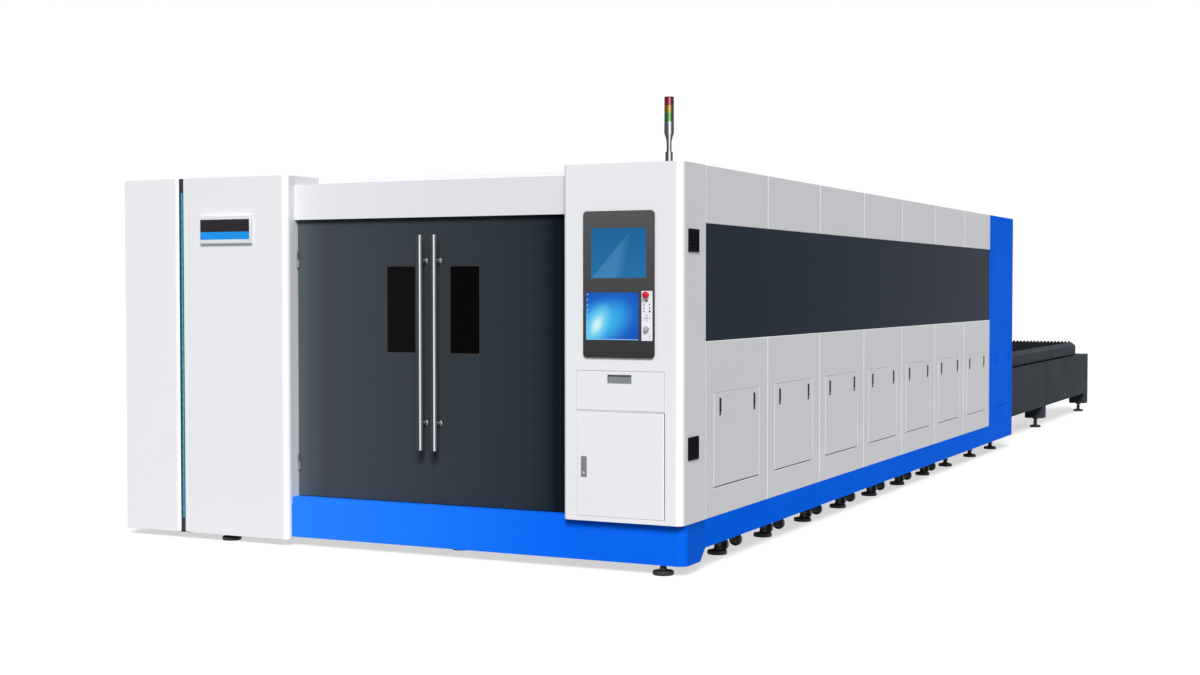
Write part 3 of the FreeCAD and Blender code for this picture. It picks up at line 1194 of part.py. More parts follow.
# ---------------------------------------------------------------------------
# Exchange table and the two pallets with their sawtooth slats
# ---------------------------------------------------------------------------
table_pieces = []
for side, near, far in both_sides("table_face", "bed_inner + rail_ledge"):
    web = ((near, f"{near} + rail_plate") if side == "right" else (f"{far} - rail_plate", far))
    table_pieces.append(join(f"table_side_{side}", [
        slab(f"table_web_{side}", *web, PORTAL_END, "table_end", "table_bottom", "upper_rail"),
        slab(f"table_top_flange_{side}", near, far, PORTAL_END, "table_end",
             "upper_rail - rail_plate", "upper_rail"),
        slab(f"table_low_flange_{side}", near, far, PORTAL_END, "table_end",
             "table_bottom", "table_bottom + rail_plate"),
        slab(f"table_ledge_{side}", near, far, PORTAL_END, "table_end",
             "upper_rail - level_drop - rail_plate", "upper_rail - level_drop")]))
for side, near, far in both_sides("bed_inner + rail_ledge - rail_plate",
                                  "bed_inner + rail_ledge"):
    table_pieces.append(slab(f"table_guide_{side}", near, far, PORTAL_END, "table_end",
                             "upper_rail", "upper_rail + guide_tall"))
for side, near, far in both_sides("table_face", "table_face + leg_wide"):
    for index, y in enumerate(LEGS):
        table_pieces.append(tray(f"table_leg_{side}_{index}", near, far, f"{y} - leg_wide/2",
                                 f"{y} + leg_wide/2", "leg_bottom", "table_bottom", "top",
                                 "rail_plate"))
TIE = "(bed_inner + rail_ledge)"
for index, y in enumerate(LEGS):
    table_pieces.append(tube(f"table_tie_{index}", TIE, left(TIE), f"{y} - bed_post_wide/2",
                             f"{y} + bed_post_wide/2", "table_bottom",
                             "table_bottom + bed_cross_tall", "across"))
table_pieces.append(tube("table_end_beam", TIE, left(TIE), "table_end - end_beam", "table_end",
                         "upper_rail - end_beam", "upper_rail", "across"))
WEB_INSIDE = "(table_face + rail_plate)"
table_pieces.append(tube("drive_cover_tube", WEB_INSIDE, left(WEB_INSIDE), "drive_start",
                         "drive_start + drive_cover", "drive_up", "drive_up + drive_cover",
                         "across"))
MOTOR_FACE = left("table_face")
DRIVE_MIDDLE = ("drive_start + drive_cover/2", "drive_up + drive_cover/2")
table_pieces.append(join("drive_motor", [
    slab("drive_gearbox", MOTOR_FACE, f"{MOTOR_FACE} + motor_radius*1.6",
         "drive_start - drive_cover/2", "drive_start + drive_cover*1.5",
         "drive_up - drive_cover/2", "drive_up + drive_cover*1.5"),
    prism("drive_motor_can", f"({MOTOR_FACE} + motor_radius*0.8)", *DRIVE_MIDDLE,
          "motor_radius*0.75", "motor_long", 12, "back")]))
group("exchange_table", table_pieces)


def pallet(level, rail, start):
    """A pallet: side guards, side tubes, cross tubes, comb bars and rollers."""
    stop = f"({start} + pallet_long)"
    pieces = []
    for side, sign in (("right", 1), ("left", -1)):
        def at(distance):
            station = f"(pallet_face + {distance})"
            return across(station if side == "right" else left(station))
        guard = body(f"{level}_guard_{side}")
        low, bend = f"{rail} + guard_lift", f"{rail} + guard_lift + guard_tall"
        pad(guard, f"{level}_guard_pad_{side}", outline(
            guard, f"{level}_guard_section_{side}", "XZ_Plane",
            [(at("0"), low), (at("0"), bend), (at("guard_lean"), f"{rail} + slat_top"),
             (at("guard_lean + guard_plate"), f"{rail} + slat_top - guard_plate"),
             (at("guard_plate"), f"{bend} - guard_plate/2"), (at("guard_plate"), low)],
            f"-{deep(stop)}"), "pallet_long")
        pieces.append(guard)
    inner_near, inner_far = "(pallet_face + guard_plate)", \
        "(pallet_face + guard_plate + pallet_tube_wide)"
    seat = f"({rail} + slat_seat)"
    for side, near, far in both_sides(inner_near, inner_far):
        pieces.append(tube(f"{level}_side_tube_{side}", near, far, start, stop,
                           f"{rail} + pallet_tube_low", seat, "back"))
        wheel_near = (inner_near + " + roller_wide" if side == "right"
                      else left(inner_near))
        for index in range(count("roller_count")):
            y = f"({start} + pallet_long*{(index + 0.5)}/roller_count)"
            pieces.append(prism(f"{level}_roller_{side}_{index}", wheel_near, y,
                                f"{rail} + roller_radius + slide_play", "roller_radius",
                                "roller_wide", 8, "right"))
    cross_low = f"{rail} + pallet_tube_low"
    crosses = count("pallet_cross_count")
    for index in range(crosses):
        y = f"({start} + pallet_cross + (pallet_long - 2*pallet_cross)*{index}/{crosses - 1})"
        pieces.append(tray(f"{level}_cross_{index}", inner_far, left(inner_far),
                           f"{y} - pallet_cross/2", f"{y} + pallet_cross/2", cross_low,
                           f"{cross_low} + pallet_cross", "right left bottom", "tube_wall"))
    for index in (1, 2, 3):
        middle = f"({inner_far} + (body_width - 2*{inner_far})*{index}/4)"
        pieces.append(slab(f"{level}_comb_bar_{index}", f"{middle} - guard_plate",
                           f"{middle} + guard_plate", start, stop,
                           f"{cross_low} + pallet_cross", seat))
    join(f"{level}_pallet", pieces)

    slats = body(f"{level}_slats")
    teeth = count("tooth_count")
    near = f"({inner_far} + seam_gap)"
    far = left(near)
    points = [(across(near), seat), (across(far), seat)]
    for index in range(teeth):
        for share, top in ((index, "slat_top - tooth_tall"), (index + 0.5, "slat_top")):
            points.append((across(f"{far} - ({far} - {near})*{share}/{teeth}"),
                           f"{rail} + {top}"))
    points.append((across(near), f"{rail} + slat_top - tooth_tall"))
    first = pad(slats, f"{level}_slat", outline(
        slats, f"{level}_slat_side", "XZ_Plane", points,
        f"-{deep(f'{start} + slat_pitch + slat_thick')}"), "slat_thick")
    row_of = slats.newObject("PartDesign::LinearPattern", f"{level}_slat_row")
    row_of.Originals = [first]
    axis = [part for part in slats.Origin.OriginFeatures if part.Role == "Y_Axis"][0]
    row_of.Direction = (axis, [""])
    bind(row_of, Length="slat_pitch*(slat_count - 1)", Occurrences="slat_count")
    slats.Tip = row_of


pallet("upper", "upper_rail", "pallet_start")
pallet("lower", "(upper_rail - level_drop)", "(pallet_start - pallet_travel)")


# ---------------------------------------------------------------------------
# Check every object, then write one file for each sub-part
# ---------------------------------------------------------------------------
NODES = ["bed_frame", "gantry_rails", "scrap_trays", "levelling_feet", "transport_casters",
         "wall_frame", "right_wall", "left_wall", "window_bands", "side_skirts", "roof_panels",
         "rear_portal", "portal_hatch"]
NODES += [f"service_hatch_{index + 1}" for index in MODULES]
NODES += ["front_skirt", "door_lintel", "left_front", "light_channel", "light_strip",
          "blank_plate", "laser_cabinet", "right_door", "right_window", "right_handle",
          "left_door", "left_window", "left_handle", "console_cabinet",
          "screen_bezel", "upper_screen", "lower_screen", "button_panel", "stop_button",
          "feed_knob", "start_button", "keyboard_drawer",
          "drawer_pull", "keyboard", "console_door", "door_latch", "side_filters",
          "beacon_post", "beacon_green", "beacon_amber", "beacon_red", "gantry_beam",
          "head_carriage", "lift_slide", "cutting_head", "exchange_table", "upper_pallet",
          "upper_slats", "lower_pallet", "lower_slats"]

doc.recompute()
for thing in doc.Objects:
    if {"Invalid", "Error"} & set(thing.State):
        raise RuntimeError(f"{thing.Name} did not build: {thing.State}")
os.makedirs("parts", exist_ok=True)
for node in NODES:
    piece = doc.getObject(node)
    piece.Label = node
    shape = piece.Shape
    if shape.isNull() or not shape.isValid() or not shape.Solids:
        raise RuntimeError(f"{node} has no valid solid")
    shape.exportStep(f"parts/{node}.step")
    print(f"{node}: {len(shape.Solids)} solids, {shape.Volume/1e6:.2f} litres")
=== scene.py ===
import json
from itertools import product
from math import cos, pi, radians, sin

import bmesh
import bpy
from mathutils import Matrix, Vector


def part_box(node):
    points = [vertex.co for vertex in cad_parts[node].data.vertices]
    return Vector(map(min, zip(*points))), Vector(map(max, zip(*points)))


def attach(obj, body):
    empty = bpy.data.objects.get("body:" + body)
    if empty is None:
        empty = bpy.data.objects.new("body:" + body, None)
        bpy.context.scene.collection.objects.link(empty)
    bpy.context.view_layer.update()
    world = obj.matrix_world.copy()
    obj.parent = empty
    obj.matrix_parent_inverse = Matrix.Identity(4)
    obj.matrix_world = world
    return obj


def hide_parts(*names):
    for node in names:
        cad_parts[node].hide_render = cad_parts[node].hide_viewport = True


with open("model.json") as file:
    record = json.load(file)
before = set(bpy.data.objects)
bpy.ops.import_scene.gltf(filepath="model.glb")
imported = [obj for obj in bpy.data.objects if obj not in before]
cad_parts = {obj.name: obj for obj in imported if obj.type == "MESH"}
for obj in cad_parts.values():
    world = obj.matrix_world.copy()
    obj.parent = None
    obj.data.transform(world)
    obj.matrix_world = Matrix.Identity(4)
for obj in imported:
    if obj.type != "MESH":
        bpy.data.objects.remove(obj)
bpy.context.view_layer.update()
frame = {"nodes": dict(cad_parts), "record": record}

# Studio: a pale floor under a white sky, one broad sun from the front, and the camera at
# the photograph's angle.  None of this belongs to the machine.
MM = 0.001
scene = bpy.context.scene
scene.view_settings.view_transform = "Standard"
CONSOLE_PROUD = 170
RIGHT_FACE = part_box("right_wall")[1].x
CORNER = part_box("console_cabinet")[0].y + CONSOLE_PROUD*MM


def spot(across, deep, up=0):
    """A place in metres from millimetres in from the right wall, back from the corner, up."""
    return Vector((RIGHT_FACE - across*MM, CORNER + deep*MM, up*MM))


def tint(code):
    """A colour written as sRGB hex, as the linear values that a socket takes."""
    parts = [int(code[place:place + 2], 16)/255 for place in (1, 3, 5)]
    return tuple(part/12.92 if part <= 0.04045 else ((part + 0.055)/1.055)**2.4
                 for part in parts) + (1.0,)


def add(tree, kind, inputs=(), **settings):
    """A node with its settings; each input is set to a value, or linked to a socket or to
    the first live output of another node."""
    family = "GeometryNode" if tree.bl_idname == "GeometryNodeTree" else "ShaderNode"
    node = tree.nodes.new(kind if kind.startswith("NodeGroup") else family + kind)
    for name, value in settings.items():
        setattr(node, name, value)
    for name, value in dict(inputs).items():
        if isinstance(value, bpy.types.Node):
            value = next(socket for socket in value.outputs if socket.enabled)
        if isinstance(value, bpy.types.NodeSocket):
            tree.links.new(value, node.inputs[name])
        else:
            node.inputs[name].default_value = value
    return node


def shown(name, data):
    """An object that holds some data, in the scene."""
    thing = bpy.data.objects.new(name, data)
    scene.collection.objects.link(thing)
    return thing


camera = shown("camera", bpy.data.cameras.new("camera"))
camera.data.lens = 50
camera.data.sensor_width = 36
camera.data.clip_end = 200
camera.location = spot(-3573, -8600, 1599.6)
camera.rotation_euler = (radians(88.32), 0, radians(25.80))
scene.camera = camera

sun = shown("sun", bpy.data.lights.new("sun", "SUN"))
sun.data.energy = 3.3
sun.data.angle = radians(24)
sun.rotation_euler = Vector((0.336, -0.689, 0.643)).to_track_quat("Z", "Y").to_euler()


def seen_directly(tree):
    """1 where the camera looks straight at it, or at its image in metal or glass."""
    path = add(tree, "LightPath").outputs
    mirrored = add(tree, "Math", {0: path["Is Glossy Ray"], 1: path["Is Transmission Ray"]},
                   operation="MAXIMUM")
    return add(tree, "Math", {0: path["Is Camera Ray"], 1: mirrored}, operation="MAXIMUM")


sky = bpy.data.worlds.new("white_sky")
sky.use_nodes = True
tree = sky.node_tree
tree.nodes.clear()
soft = add(tree, "Background", {"Color": tint("#F8FAFF"), "Strength": 0.30})
white = add(tree, "Background", {"Color": tint("#FFFFFF"), "Strength": 1.0})
both = add(tree, "MixShader", {0: seen_directly(tree), 1: soft, 2: white})
add(tree, "OutputWorld", {"Surface": both})
scene.world = sky


def new_finish(name):
    """An empty material, its tree, and the object coordinates in metres."""
    paint = bpy.data.materials.new(name)
    paint.use_nodes = True
    paint.node_tree.nodes.clear()
    place = add(paint.node_tree, "TexCoord").outputs["Object"]
    return paint, paint.node_tree, place


def meshed(form, name):
    """The plain mesh of a form as it is."""
    mesh = bpy.data.meshes.new(name)
    form.to_mesh(mesh)
    form.free()
    return mesh


floor_paint, tree, place = new_finish("studio_floor")
matt = add(tree, "BsdfDiffuse", {"Color": tint("#A0A0A0")})
half = add(tree, "BsdfDiffuse", {"Color": tint("#B4B4B4")})
glow = add(tree, "Emission", {"Color": tint("#FFFFFF"), "Strength": 0.62})
lit = add(tree, "AddShader", {0: half, 1: glow})
floor_look = add(tree, "MixShader", {0: seen_directly(tree), 1: matt, 2: lit})
add(tree, "OutputMaterial", {"Surface": floor_look})
floor_form = bmesh.new()
bmesh.ops.create_grid(floor_form, x_segments=1, y_segments=1, size=90,
                      matrix=Matrix.Translation((0, 0, -0.5*MM)))
studio_floor = shown("studio_floor", meshed(floor_form, "studio_floor"))
studio_floor.data.materials.append(floor_paint)

# Bed: rectangular steel tubes welded into a ladder frame with posts, and the angle rails
# that the pallets run on.  It is blasted and sprayed with a matt grey primer.
BODY_OF = {node: body for body, nodes in frame["record"]["behaviour"]["bodies"].items()
           for node in nodes}
# Angles in degrees: faces past the first don't blend, edges past the second are rounded,
# and triangles below the third are one flat face
CRISP_FOLD, EDGE_FOLD, FLAT_FOLD = 38, 40, 0.4


def shaded(paint, **sockets):
    """Closes a material with a principled shader; sockets are given by plain names."""
    shader = add(paint.node_tree, "BsdfPrincipled", {
        name.replace("_", " "): value for name, value in sockets.items()})
    add(paint.node_tree, "OutputMaterial", {"Surface": shader})
    return paint


def ramped(tree, value, stops):
    """A colour that follows a value through stops, given as (value, sRGB hex) pairs."""
    stops = sorted(stops)
    first, last = stops[0][0], stops[-1][0]
    share = add(tree, "MapRange", {"Value": value, "From Min": first, "From Max": last})
    ramp = add(tree, "ValToRGB", {"Fac": share})
    marks = ramp.color_ramp.elements
    while len(marks) < len(stops):
        marks.new(0.5)
    for mark, (at, colour) in zip(marks, stops):
        mark.position = (at - first)/(last - first)
    for mark, (at, colour) in zip(marks, stops):
        mark.color = tint(colour)
    return ramp


def toned(tree, place, tones, share):
    """The colour of a finish. tones are two colours, or stops of a colour that changes from
    the right to the left of the machine in millimetres in from the right wall, or what makes
    the colour from the tree and the place."""
    if callable(tones):
        return tones(tree, place)
    if isinstance(tones[0], str):
        return add(tree, "Mix", {0: share, 6: tint(tones[0]), 7: tint(tones[1])},
                   data_type="RGBA")
    x = add(tree, "SeparateXYZ", {"Vector": place}).outputs["X"]
    return ramped(tree, x, [(spot(across, 0).x, colour) for across, colour in tones])


def powder_coat(name, tones, roughness=0.42, peel=0.16, specular=0.5, painted_highlight=None):
    """Powder paint baked on steel: an even satin colour with the dimples of orange peel.
    painted_highlight is a colour painted on upright folds as a highlight, where they turn
    between the front and the side."""
    paint, tree, place = new_finish(name)
    # Orange peel is 1 to 2 mm across; drawn at 7 mm so that it shows
    dimples = add(tree, "TexNoise", {"Vector": place, "Scale": 1/(7*MM), "Detail": 1.0})
    bump = add(tree, "Bump", {"Height": dimples, "Strength": peel, "Distance": 0.4*MM})
    # Film thickness and handling change the sheen and tone a little over a forearm's length
    cloud = add(tree, "TexNoise", {"Vector": place, "Scale": 1/0.45, "Detail": 3.0})
    sheen = add(tree, "MapRange", {"Value": cloud, "From Min": 0.35, "From Max": 0.65,
                                   "To Min": roughness - 0.04, "To Max": roughness + 0.06})
    share = add(tree, "MapRange", {"Value": cloud, "From Min": 0.40, "From Max": 0.75,
                                   "To Max": 0.35})
    tone = toned(tree, place, tones, share)
    # Painted highlight: faces that turn between front and side take a paler colour
    if painted_highlight:
        outward = add(tree, "TexCoord").outputs["Normal"]
        either = add(tree, "VectorMath", {0: outward}, operation="ABSOLUTE")
        slant = add(tree, "SeparateXYZ", {"Vector": either}).outputs["X"]
        fold = ramped(tree, slant, [(0.10, "#000000"), (0.32, "#FFFFFF"), (0.86, "#FFFFFF"),
                                    (0.95, "#000000")])
        tone = add(tree, "Mix", {0: fold, 6: tone, 7: tint(painted_highlight)}, data_type="RGBA")
    return shaded(paint, Base_Color=tone, Roughness=sheen, Normal=bump,
                  Specular_IOR_Level=specular)


def closed(form, name):
    """The mesh of a form whose faces all point outwards."""
    bmesh.ops.remove_doubles(form, verts=form.verts, dist=0.002*MM)
    bmesh.ops.recalc_face_normals(form, faces=form.faces)
    return meshed(form, name)


def dressed(form, name, paint, slot, body="machine", *stands_for, **copies):
    """A finished piece from a form or a mesh: its copies, shading, material and body, and
    the nodes that it stands for."""
    if copies:
        mesh = repeated(form, name, paint, **copies)
    else:
        mesh = closed(form, name) if isinstance(form, bmesh.types.BMesh) else form
    mesh.shade_smooth()
    mesh.set_sharp_from_angle(angle=radians(CRISP_FOLD))
    mesh.materials.clear()
    mesh.materials.append(paint)
    piece = shown(name, mesh)
    # Large faces keep their own direction, so that only the rounded edges blend
    piece.modifiers.new("even_shading", "WEIGHTED_NORMAL").keep_sharp = True
    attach(piece, body)
    if stands_for:
        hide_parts(*stands_for)


def folds(edges, angle):
    """The edges at which two faces meet at more than an angle in degrees."""
    return [edge for edge in edges if len(edge.link_faces) == 2
            and edge.calc_face_angle(0) > radians(angle)]


def rounded(form, edges, radius, steps=2):
    """Rounds edges to a radius in millimetres."""
    return bmesh.ops.bevel(form, geom=edges, offset=radius*MM, segments=steps, profile=0.5,
                           affect="EDGES", clamp_overlap=False)


def softened(node, paint, slot, radius=1.2, broad=None, fitted=None):
    """A solid's own form with its sharp edges broken, as folding, welding and paint do.
    broad is a test on the ends of an edge and the larger radius of the edges that pass;
    fitted gives the finished place of a corner where it differs from the solid's."""
    form = bmesh.new()
    form.from_mesh(frame["nodes"][node].data)
    if fitted:
        for vert in form.verts:
            vert.co = fitted(vert.co)
    ends = [(min(line), max(line)) for line in zip(*(vert.co for vert in form.verts))]
    bmesh.ops.remove_doubles(form, verts=form.verts, dist=0.01*MM)
    bmesh.ops.dissolve_limit(form, angle_limit=radians(FLAT_FOLD), verts=form.verts,
                             edges=form.edges)
    if broad:
        test, wide = broad
        rounded(form, [edge for edge in folds(form.edges, EDGE_FOLD)
                       if all(test(end.co) for end in edge.verts)], wide, 3)
    rounded(form, [edge for edge in folds(form.edges, EDGE_FOLD)
                   if edge.calc_length() > 2.5*radius*MM], radius)
    # A bevel on a face narrower than itself stays within the solid's ends
    for vert in form.verts:
        vert.co = [min(max(at, low), high) for at, (low, high) in zip(vert.co, ends)]
    name = f"dressed_{node}"
    dressed(meshed(form, name), name, paint, slot, BODY_OF[node], node)


frame_paint = powder_coat("grey_primer_on_blasted_steel", ("#6B7075", "#5A5F64"), 0.62, 0.3,
                          0.06)
softened("bed_frame", frame_paint, "frame_paint", 2.0)

# Gantry rails: hardened profile rails screwed to the top of the bed, with a cut gear rack
# on the inner face of each side.  Both are ground bright and lightly oiled.


def brushed(name, colour, roughness, grain, depth=0.1, metallic=1.0):
    """Bright metal with fine lines; grain is how many lines per metre run along each axis."""
    paint, tree, place = new_finish(name)
    lie = add(tree, "Mapping", {"Vector": place, "Scale": grain})
    lines = add(tree, "TexNoise", {"Vector": lie, "Scale": 1.0, "Detail": 4.0,
                                   "Roughness": 0.6})
    sheen = add(tree, "MapRange", {"Value": lines, "From Min": 0.3, "From Max": 0.7,
                                   "To Min": roughness - 0.05, "To Max": roughness + 0.05})
    bump = add(tree, "Bump", {"Height": lines, "Strength": depth, "Distance": 0.2*MM})
    return shaded(paint, Base_Color=tint(colour), Metallic=metallic, Roughness=sheen,
                  Normal=bump)


def copies_tree():
    """Geometry Nodes that set a row of copies of one form at every point of the host."""
    tree = bpy.data.node_groups.new("rows_of_copies", "GeometryNodeTree")
    for label, kind in (("Spots", "Geometry"), ("Form", "Object"), ("Count", "Int"),
                        ("Step", "Vector"), ("Finish", "Material")):
        tree.interface.new_socket(label, in_out="INPUT", socket_type=f"NodeSocket{kind}")
    tree.interface.new_socket("Geometry", in_out="OUTPUT", socket_type="NodeSocketGeometry")
    given = add(tree, "NodeGroupInput").outputs
    line = add(tree, "MeshLine", {"Count": given["Count"], "Offset": given["Step"]},
               mode="OFFSET")
    rows = add(tree, "InstanceOnPoints", {"Points": given["Spots"], "Instance": line})
    spots = add(tree, "RealizeInstances", {"Geometry": rows})
    form = add(tree, "ObjectInfo", {"Object": given["Form"]}, transform_space="ORIGINAL")
    copies = add(tree, "InstanceOnPoints", {"Points": spots,
                                            "Instance": form.outputs["Geometry"]})
    real = add(tree, "RealizeInstances", {"Geometry": copies})
    done = add(tree, "SetMaterial", {"Geometry": real, "Material": given["Finish"]})
    add(tree, "NodeGroupOutput", {"Geometry": done})
    return tree


COPIES = copies_tree()


def repeated(form, name, paint, places=((0, 0, 0),), count=1, step=(0, 0, 0)):
    """The plain mesh of copies of a form: a row from each place, its step in millimetres."""
    template = bpy.data.objects.new(f"{name}_form", closed(form, f"{name}_form"))
    host_mesh = bpy.data.meshes.new(f"{name}_spots")
    host_mesh.from_pydata([tuple(place) for place in places], [], [])
    host = shown(f"{name}_host", host_mesh)
    maker = host.modifiers.new("copies", "NODES")
    maker.node_group = COPIES
    values = {"Form": template, "Finish": paint, "Count": count,
              "Step": tuple(Vector(step)*MM)}
    for item in COPIES.interface.items_tree:
        if item.name in values:
            maker[item.identifier] = values[item.name]
    bpy.context.view_layer.update()
    seen = host.evaluated_get(bpy.context.evaluated_depsgraph_get())
    mesh = bpy.data.meshes.new_from_object(seen)
    mesh.name = name
    for made in (host, template):
        bpy.data.objects.remove(made)
    return mesh


def prism(outlines):
    """A solid between two outlines with as many corners each."""
    form = bmesh.new()
    near, far = [[form.verts.new(corner) for corner in outline] for outline in outlines]
    form.faces.new(near)
    form.faces.new(far)
    for i in range(len(near)):
        form.faces.new((near[i - 1], near[i], far[i], far[i - 1]))
    return form


def turned(profile, centre=(0, 0, 0), points="up", sides=32, form=None):
    """A turned form from (radius, distance) pairs in millimetres, closed at both ends."""
    form = form or bmesh.new()
    turn = {"up": Matrix.Identity(3), "front": Matrix.Rotation(pi/2, 3, "X"),
            "back": Matrix.Rotation(-pi/2, 3, "X"),
            "right": Matrix.Rotation(pi/2, 3, "Y")}[points]
    rings = []
    for radius, along in [(0, profile[0][1]), *profile, (0, profile[-1][1])]:
        steps = sides if radius else 1
        rings.append([form.verts.new(Vector(centre) + turn @ Vector(
            (radius*MM*cos(2*pi*i/steps), radius*MM*sin(2*pi*i/steps), along*MM)))
            for i in range(steps)])
    for low, high in zip(rings, rings[1:]):
        for i in range(sides):
            corners = [low[i % len(low)], low[(i + 1) % len(low)],
                       high[(i + 1) % len(high)], high[i % len(high)]]
            form.faces.new(list(dict.fromkeys(corners)))
    return form


rail_steel = brushed("ground_rail_steel", "#B9BCC0", 0.30, (220, 4, 220))
softened("gantry_rails", rail_steel, "rail_steel", 1.0)
low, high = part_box("gantry_rails")
LEFT_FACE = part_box("left_wall")[0].x
RACK_FACE, RACK_PITCH, RACK_FOOT, RACK_TOP = 205, 12, 1076, 1098
TOOTH_REACH, TOOTH_ROOT, TOOTH_TIP, SCREW_LINE, SCREW_PITCH = 5, 8.4, 4, 146, 120
WALLS = (("right", RIGHT_FACE, -1), ("left", LEFT_FACE, 1))
for side, wall_x, inward in WALLS:
    # Teeth of the rack stand out from its inner face
    root, tip = (wall_x + inward*reach*MM for reach in (RACK_FACE, RACK_FACE + TOOTH_REACH))
    start = low.y + RACK_PITCH*MM
    outline = [(x, start + end*wide/2*MM) for x, end, wide in (
        (root, -1, TOOTH_ROOT), (tip, -1, TOOTH_TIP), (tip, 1, TOOTH_TIP),
        (root, 1, TOOTH_ROOT))]
    tooth = prism([[(x, y, up*MM) for x, y in outline] for up in (RACK_FOOT, RACK_TOP)])
    dressed(tooth, f"rack_teeth_{side}", rail_steel, "rail_steel",
            count=int((high.y - low.y)/(RACK_PITCH*MM)) - 1, step=(0, RACK_PITCH, 0))
for side, wall_x, inward in WALLS:
    # Socket screws hold each profile rail, sunk level with its top
    screw = turned([(6, 0), (6, 0.4), (5.4, 0.8), (3, 0.8), (2.8, 0.2)],
                   (wall_x + inward*SCREW_LINE*MM, low.y + SCREW_PITCH/2*MM, high.z),
                   sides=8)
    dressed(screw, f"rail_screws_{side}", rail_steel, "rail_steel",
            count=int((high.y - low.y)/(SCREW_PITCH*MM)), step=(0, SCREW_PITCH, 0))

# Scrap trays: one folded tray of bare galvanised sheet in each bay, lying loose on the
# cross members under the lower pallet, where cut-outs and slag fall.
galvanised, tree, place = new_finish("galvanised_sheet")
# Zinc spangle is 5 to 15 mm across, at its own size
spangle = add(tree, "TexVoronoi", {"Vector": place, "Scale": 1/(14*MM)})
flake = add(tree, "SeparateColor", {"Color": spangle.outputs["Color"]}).outputs
dull = add(tree, "MapRange", {"Value": flake[0], "To Min": 0.34, "To Max": 0.55})
shaded(galvanised, Base_Color=toned(tree, place, ("#9DA1A4", "#868A8E"), flake[1]),
       Metallic=0.85, Roughness=dull)
softened("scrap_trays", galvanised, "sheet_steel", 0.8)

# Levelling feet: a black rubber pad with a domed steel cap, a threaded stem, and a nut
# locked against the frame.  They stand under the sides, the front tube and the table.
FOOT_INSET, BED_BASE, LEG_BASE, LEG_MIDDLE = 150, 140, 110, 267
body_width = (RIGHT_FACE - LEFT_FACE)/MM
cabinet_left = (RIGHT_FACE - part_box("laser_cabinet")[0].x)/MM
table_end = (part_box("exchange_table")[1].y - CORNER)/MM
FIRST_FOOT, FOOT_PITCH = 725, 790
SIDE_FEET = [FIRST_FOOT + FOOT_PITCH*index for index in range(8)] + [7189, 8050]
bed_feet = [spot(across, deep) for deep in SIDE_FEET
            for across in (FOOT_INSET, body_width - FOOT_INSET)]
# Three more stand under the front tube, and one under the arm of the laser cabinet
bed_feet += [spot(FOOT_INSET, -84), spot(3152, -84), spot(1630, 210),
             spot(cabinet_left - FOOT_INSET, 2000)]
table_feet = [spot(across, table_end - back) for back in (104, 2905)
              for across in (LEG_MIDDLE, body_width - LEG_MIDDLE)]


def mottled(name, grain, tones, sheen, detail=2.0, dimples=None, **sockets):
    """A finish that varies with a grain in millimetres: its tones, its roughness, alone or
    from low to high, and the strength and depth of its dimples."""
    paint, tree, place = new_finish(name)
    noise = add(tree, "TexNoise", {"Vector": place, "Scale": 1/(grain*MM), "Detail": detail})
    if isinstance(sheen, tuple):
        sheen = add(tree, "MapRange", {"Value": noise, "To Min": sheen[0],
                                       "To Max": sheen[1]})
    if dimples:
        sockets["Normal"] = add(tree, "Bump", {"Height": noise, "Strength": dimples[0],
                                               "Distance": dimples[1]*MM})
    return shaded(paint, Base_Color=toned(tree, place, tones, noise), Roughness=sheen,
                  **sockets)


# Moulded rubber has a fine matt grain; drawn at 3 mm so that it shows
black_rubber = mottled("black_rubber_moulded", 3, ("#17181A", "#26282A"), 0.62,
                       dimples=(0.25, 0.5), Specular_IOR_Level=0.4)
# Blackened steel stays dull, with the fine turning marks showing through
black_oxide = brushed("black_oxide_steel", "#3A3D40", 0.42, (60, 60, 600), 0.15)
STEM_RADIUS, STEM_BASE, THREAD_DEEP = 16, 50, 1.2
for name, places, top in (("bed", bed_feet, BED_BASE), ("table", table_feet, LEG_BASE)):
    pad = turned([(57, 0), (60, 3), (60, 18), (57, 23), (44, 26), (27, 28), (22, 31), (19, 42),
                  (17, 48), (16.5, 52)], sides=28)
    dressed(pad, f"foot_pads_{name}", black_rubber, "foot_rubber", "machine",
            "levelling_feet", places=places)
    # The thread is drawn as rings 4 mm apart, coarse enough to show
    rings = [(STEM_RADIUS - THREAD_DEEP*(index % 2), STEM_BASE + 2*index)
             for index in range((top - STEM_BASE)//4*2)]
    stem = turned(rings + [(STEM_RADIUS, top)], sides=14)
    for across_flats, under, over in ((48, top - 22, top - 0.2), (44, 54, 68)):
        radius = across_flats/2/cos(pi/6)
        turned([(radius*0.9, under), (radius, under + 1.5), (radius, over - 1.5),
                (radius*0.9, over)], sides=6, form=stem)
    dressed(stem, f"foot_stems_{name}", black_oxide, "foot_rubber", "machine",
            "levelling_feet", places=places)

# Transport casters: black nylon wheels in folded steel forks, in pairs behind each side
# foot.  They carry the bed while it is moved, then hang clear of the floor.


def mm(x, y, z, start=(0, 0, 0)):
    """A place in metres, some millimetres away from a start."""
    return Vector(start) + Vector((x, y, z))*MM


def block(low, high, soft=1.0, corner=0.0, along="y", form=None):
    """A box between two corners; its edges along one axis may have a larger corner."""
    form = form or bmesh.new()
    made = bmesh.ops.create_cube(form, size=1.0)["verts"]
    for vert in made:
        vert.co = [(low[i] + high[i])/2 + vert.co[i]*(high[i] - low[i]) for i in range(3)]
    edges = list(dict.fromkeys(edge for vert in made for edge in vert.link_edges))
    if corner:
        axis = "xyz".index(along)
        made = rounded(form, [edge for edge in edges if abs(
            edge.verts[0].co[axis] - edge.verts[1].co[axis]) > 1e-9], corner, 6)["verts"]
        faces = dict.fromkeys(face for vert in made for face in vert.link_faces)
        edges = folds(dict.fromkeys(edge for face in faces for edge in face.edges), 60)
    if soft:
        rounded(form, edges, soft)
    return form


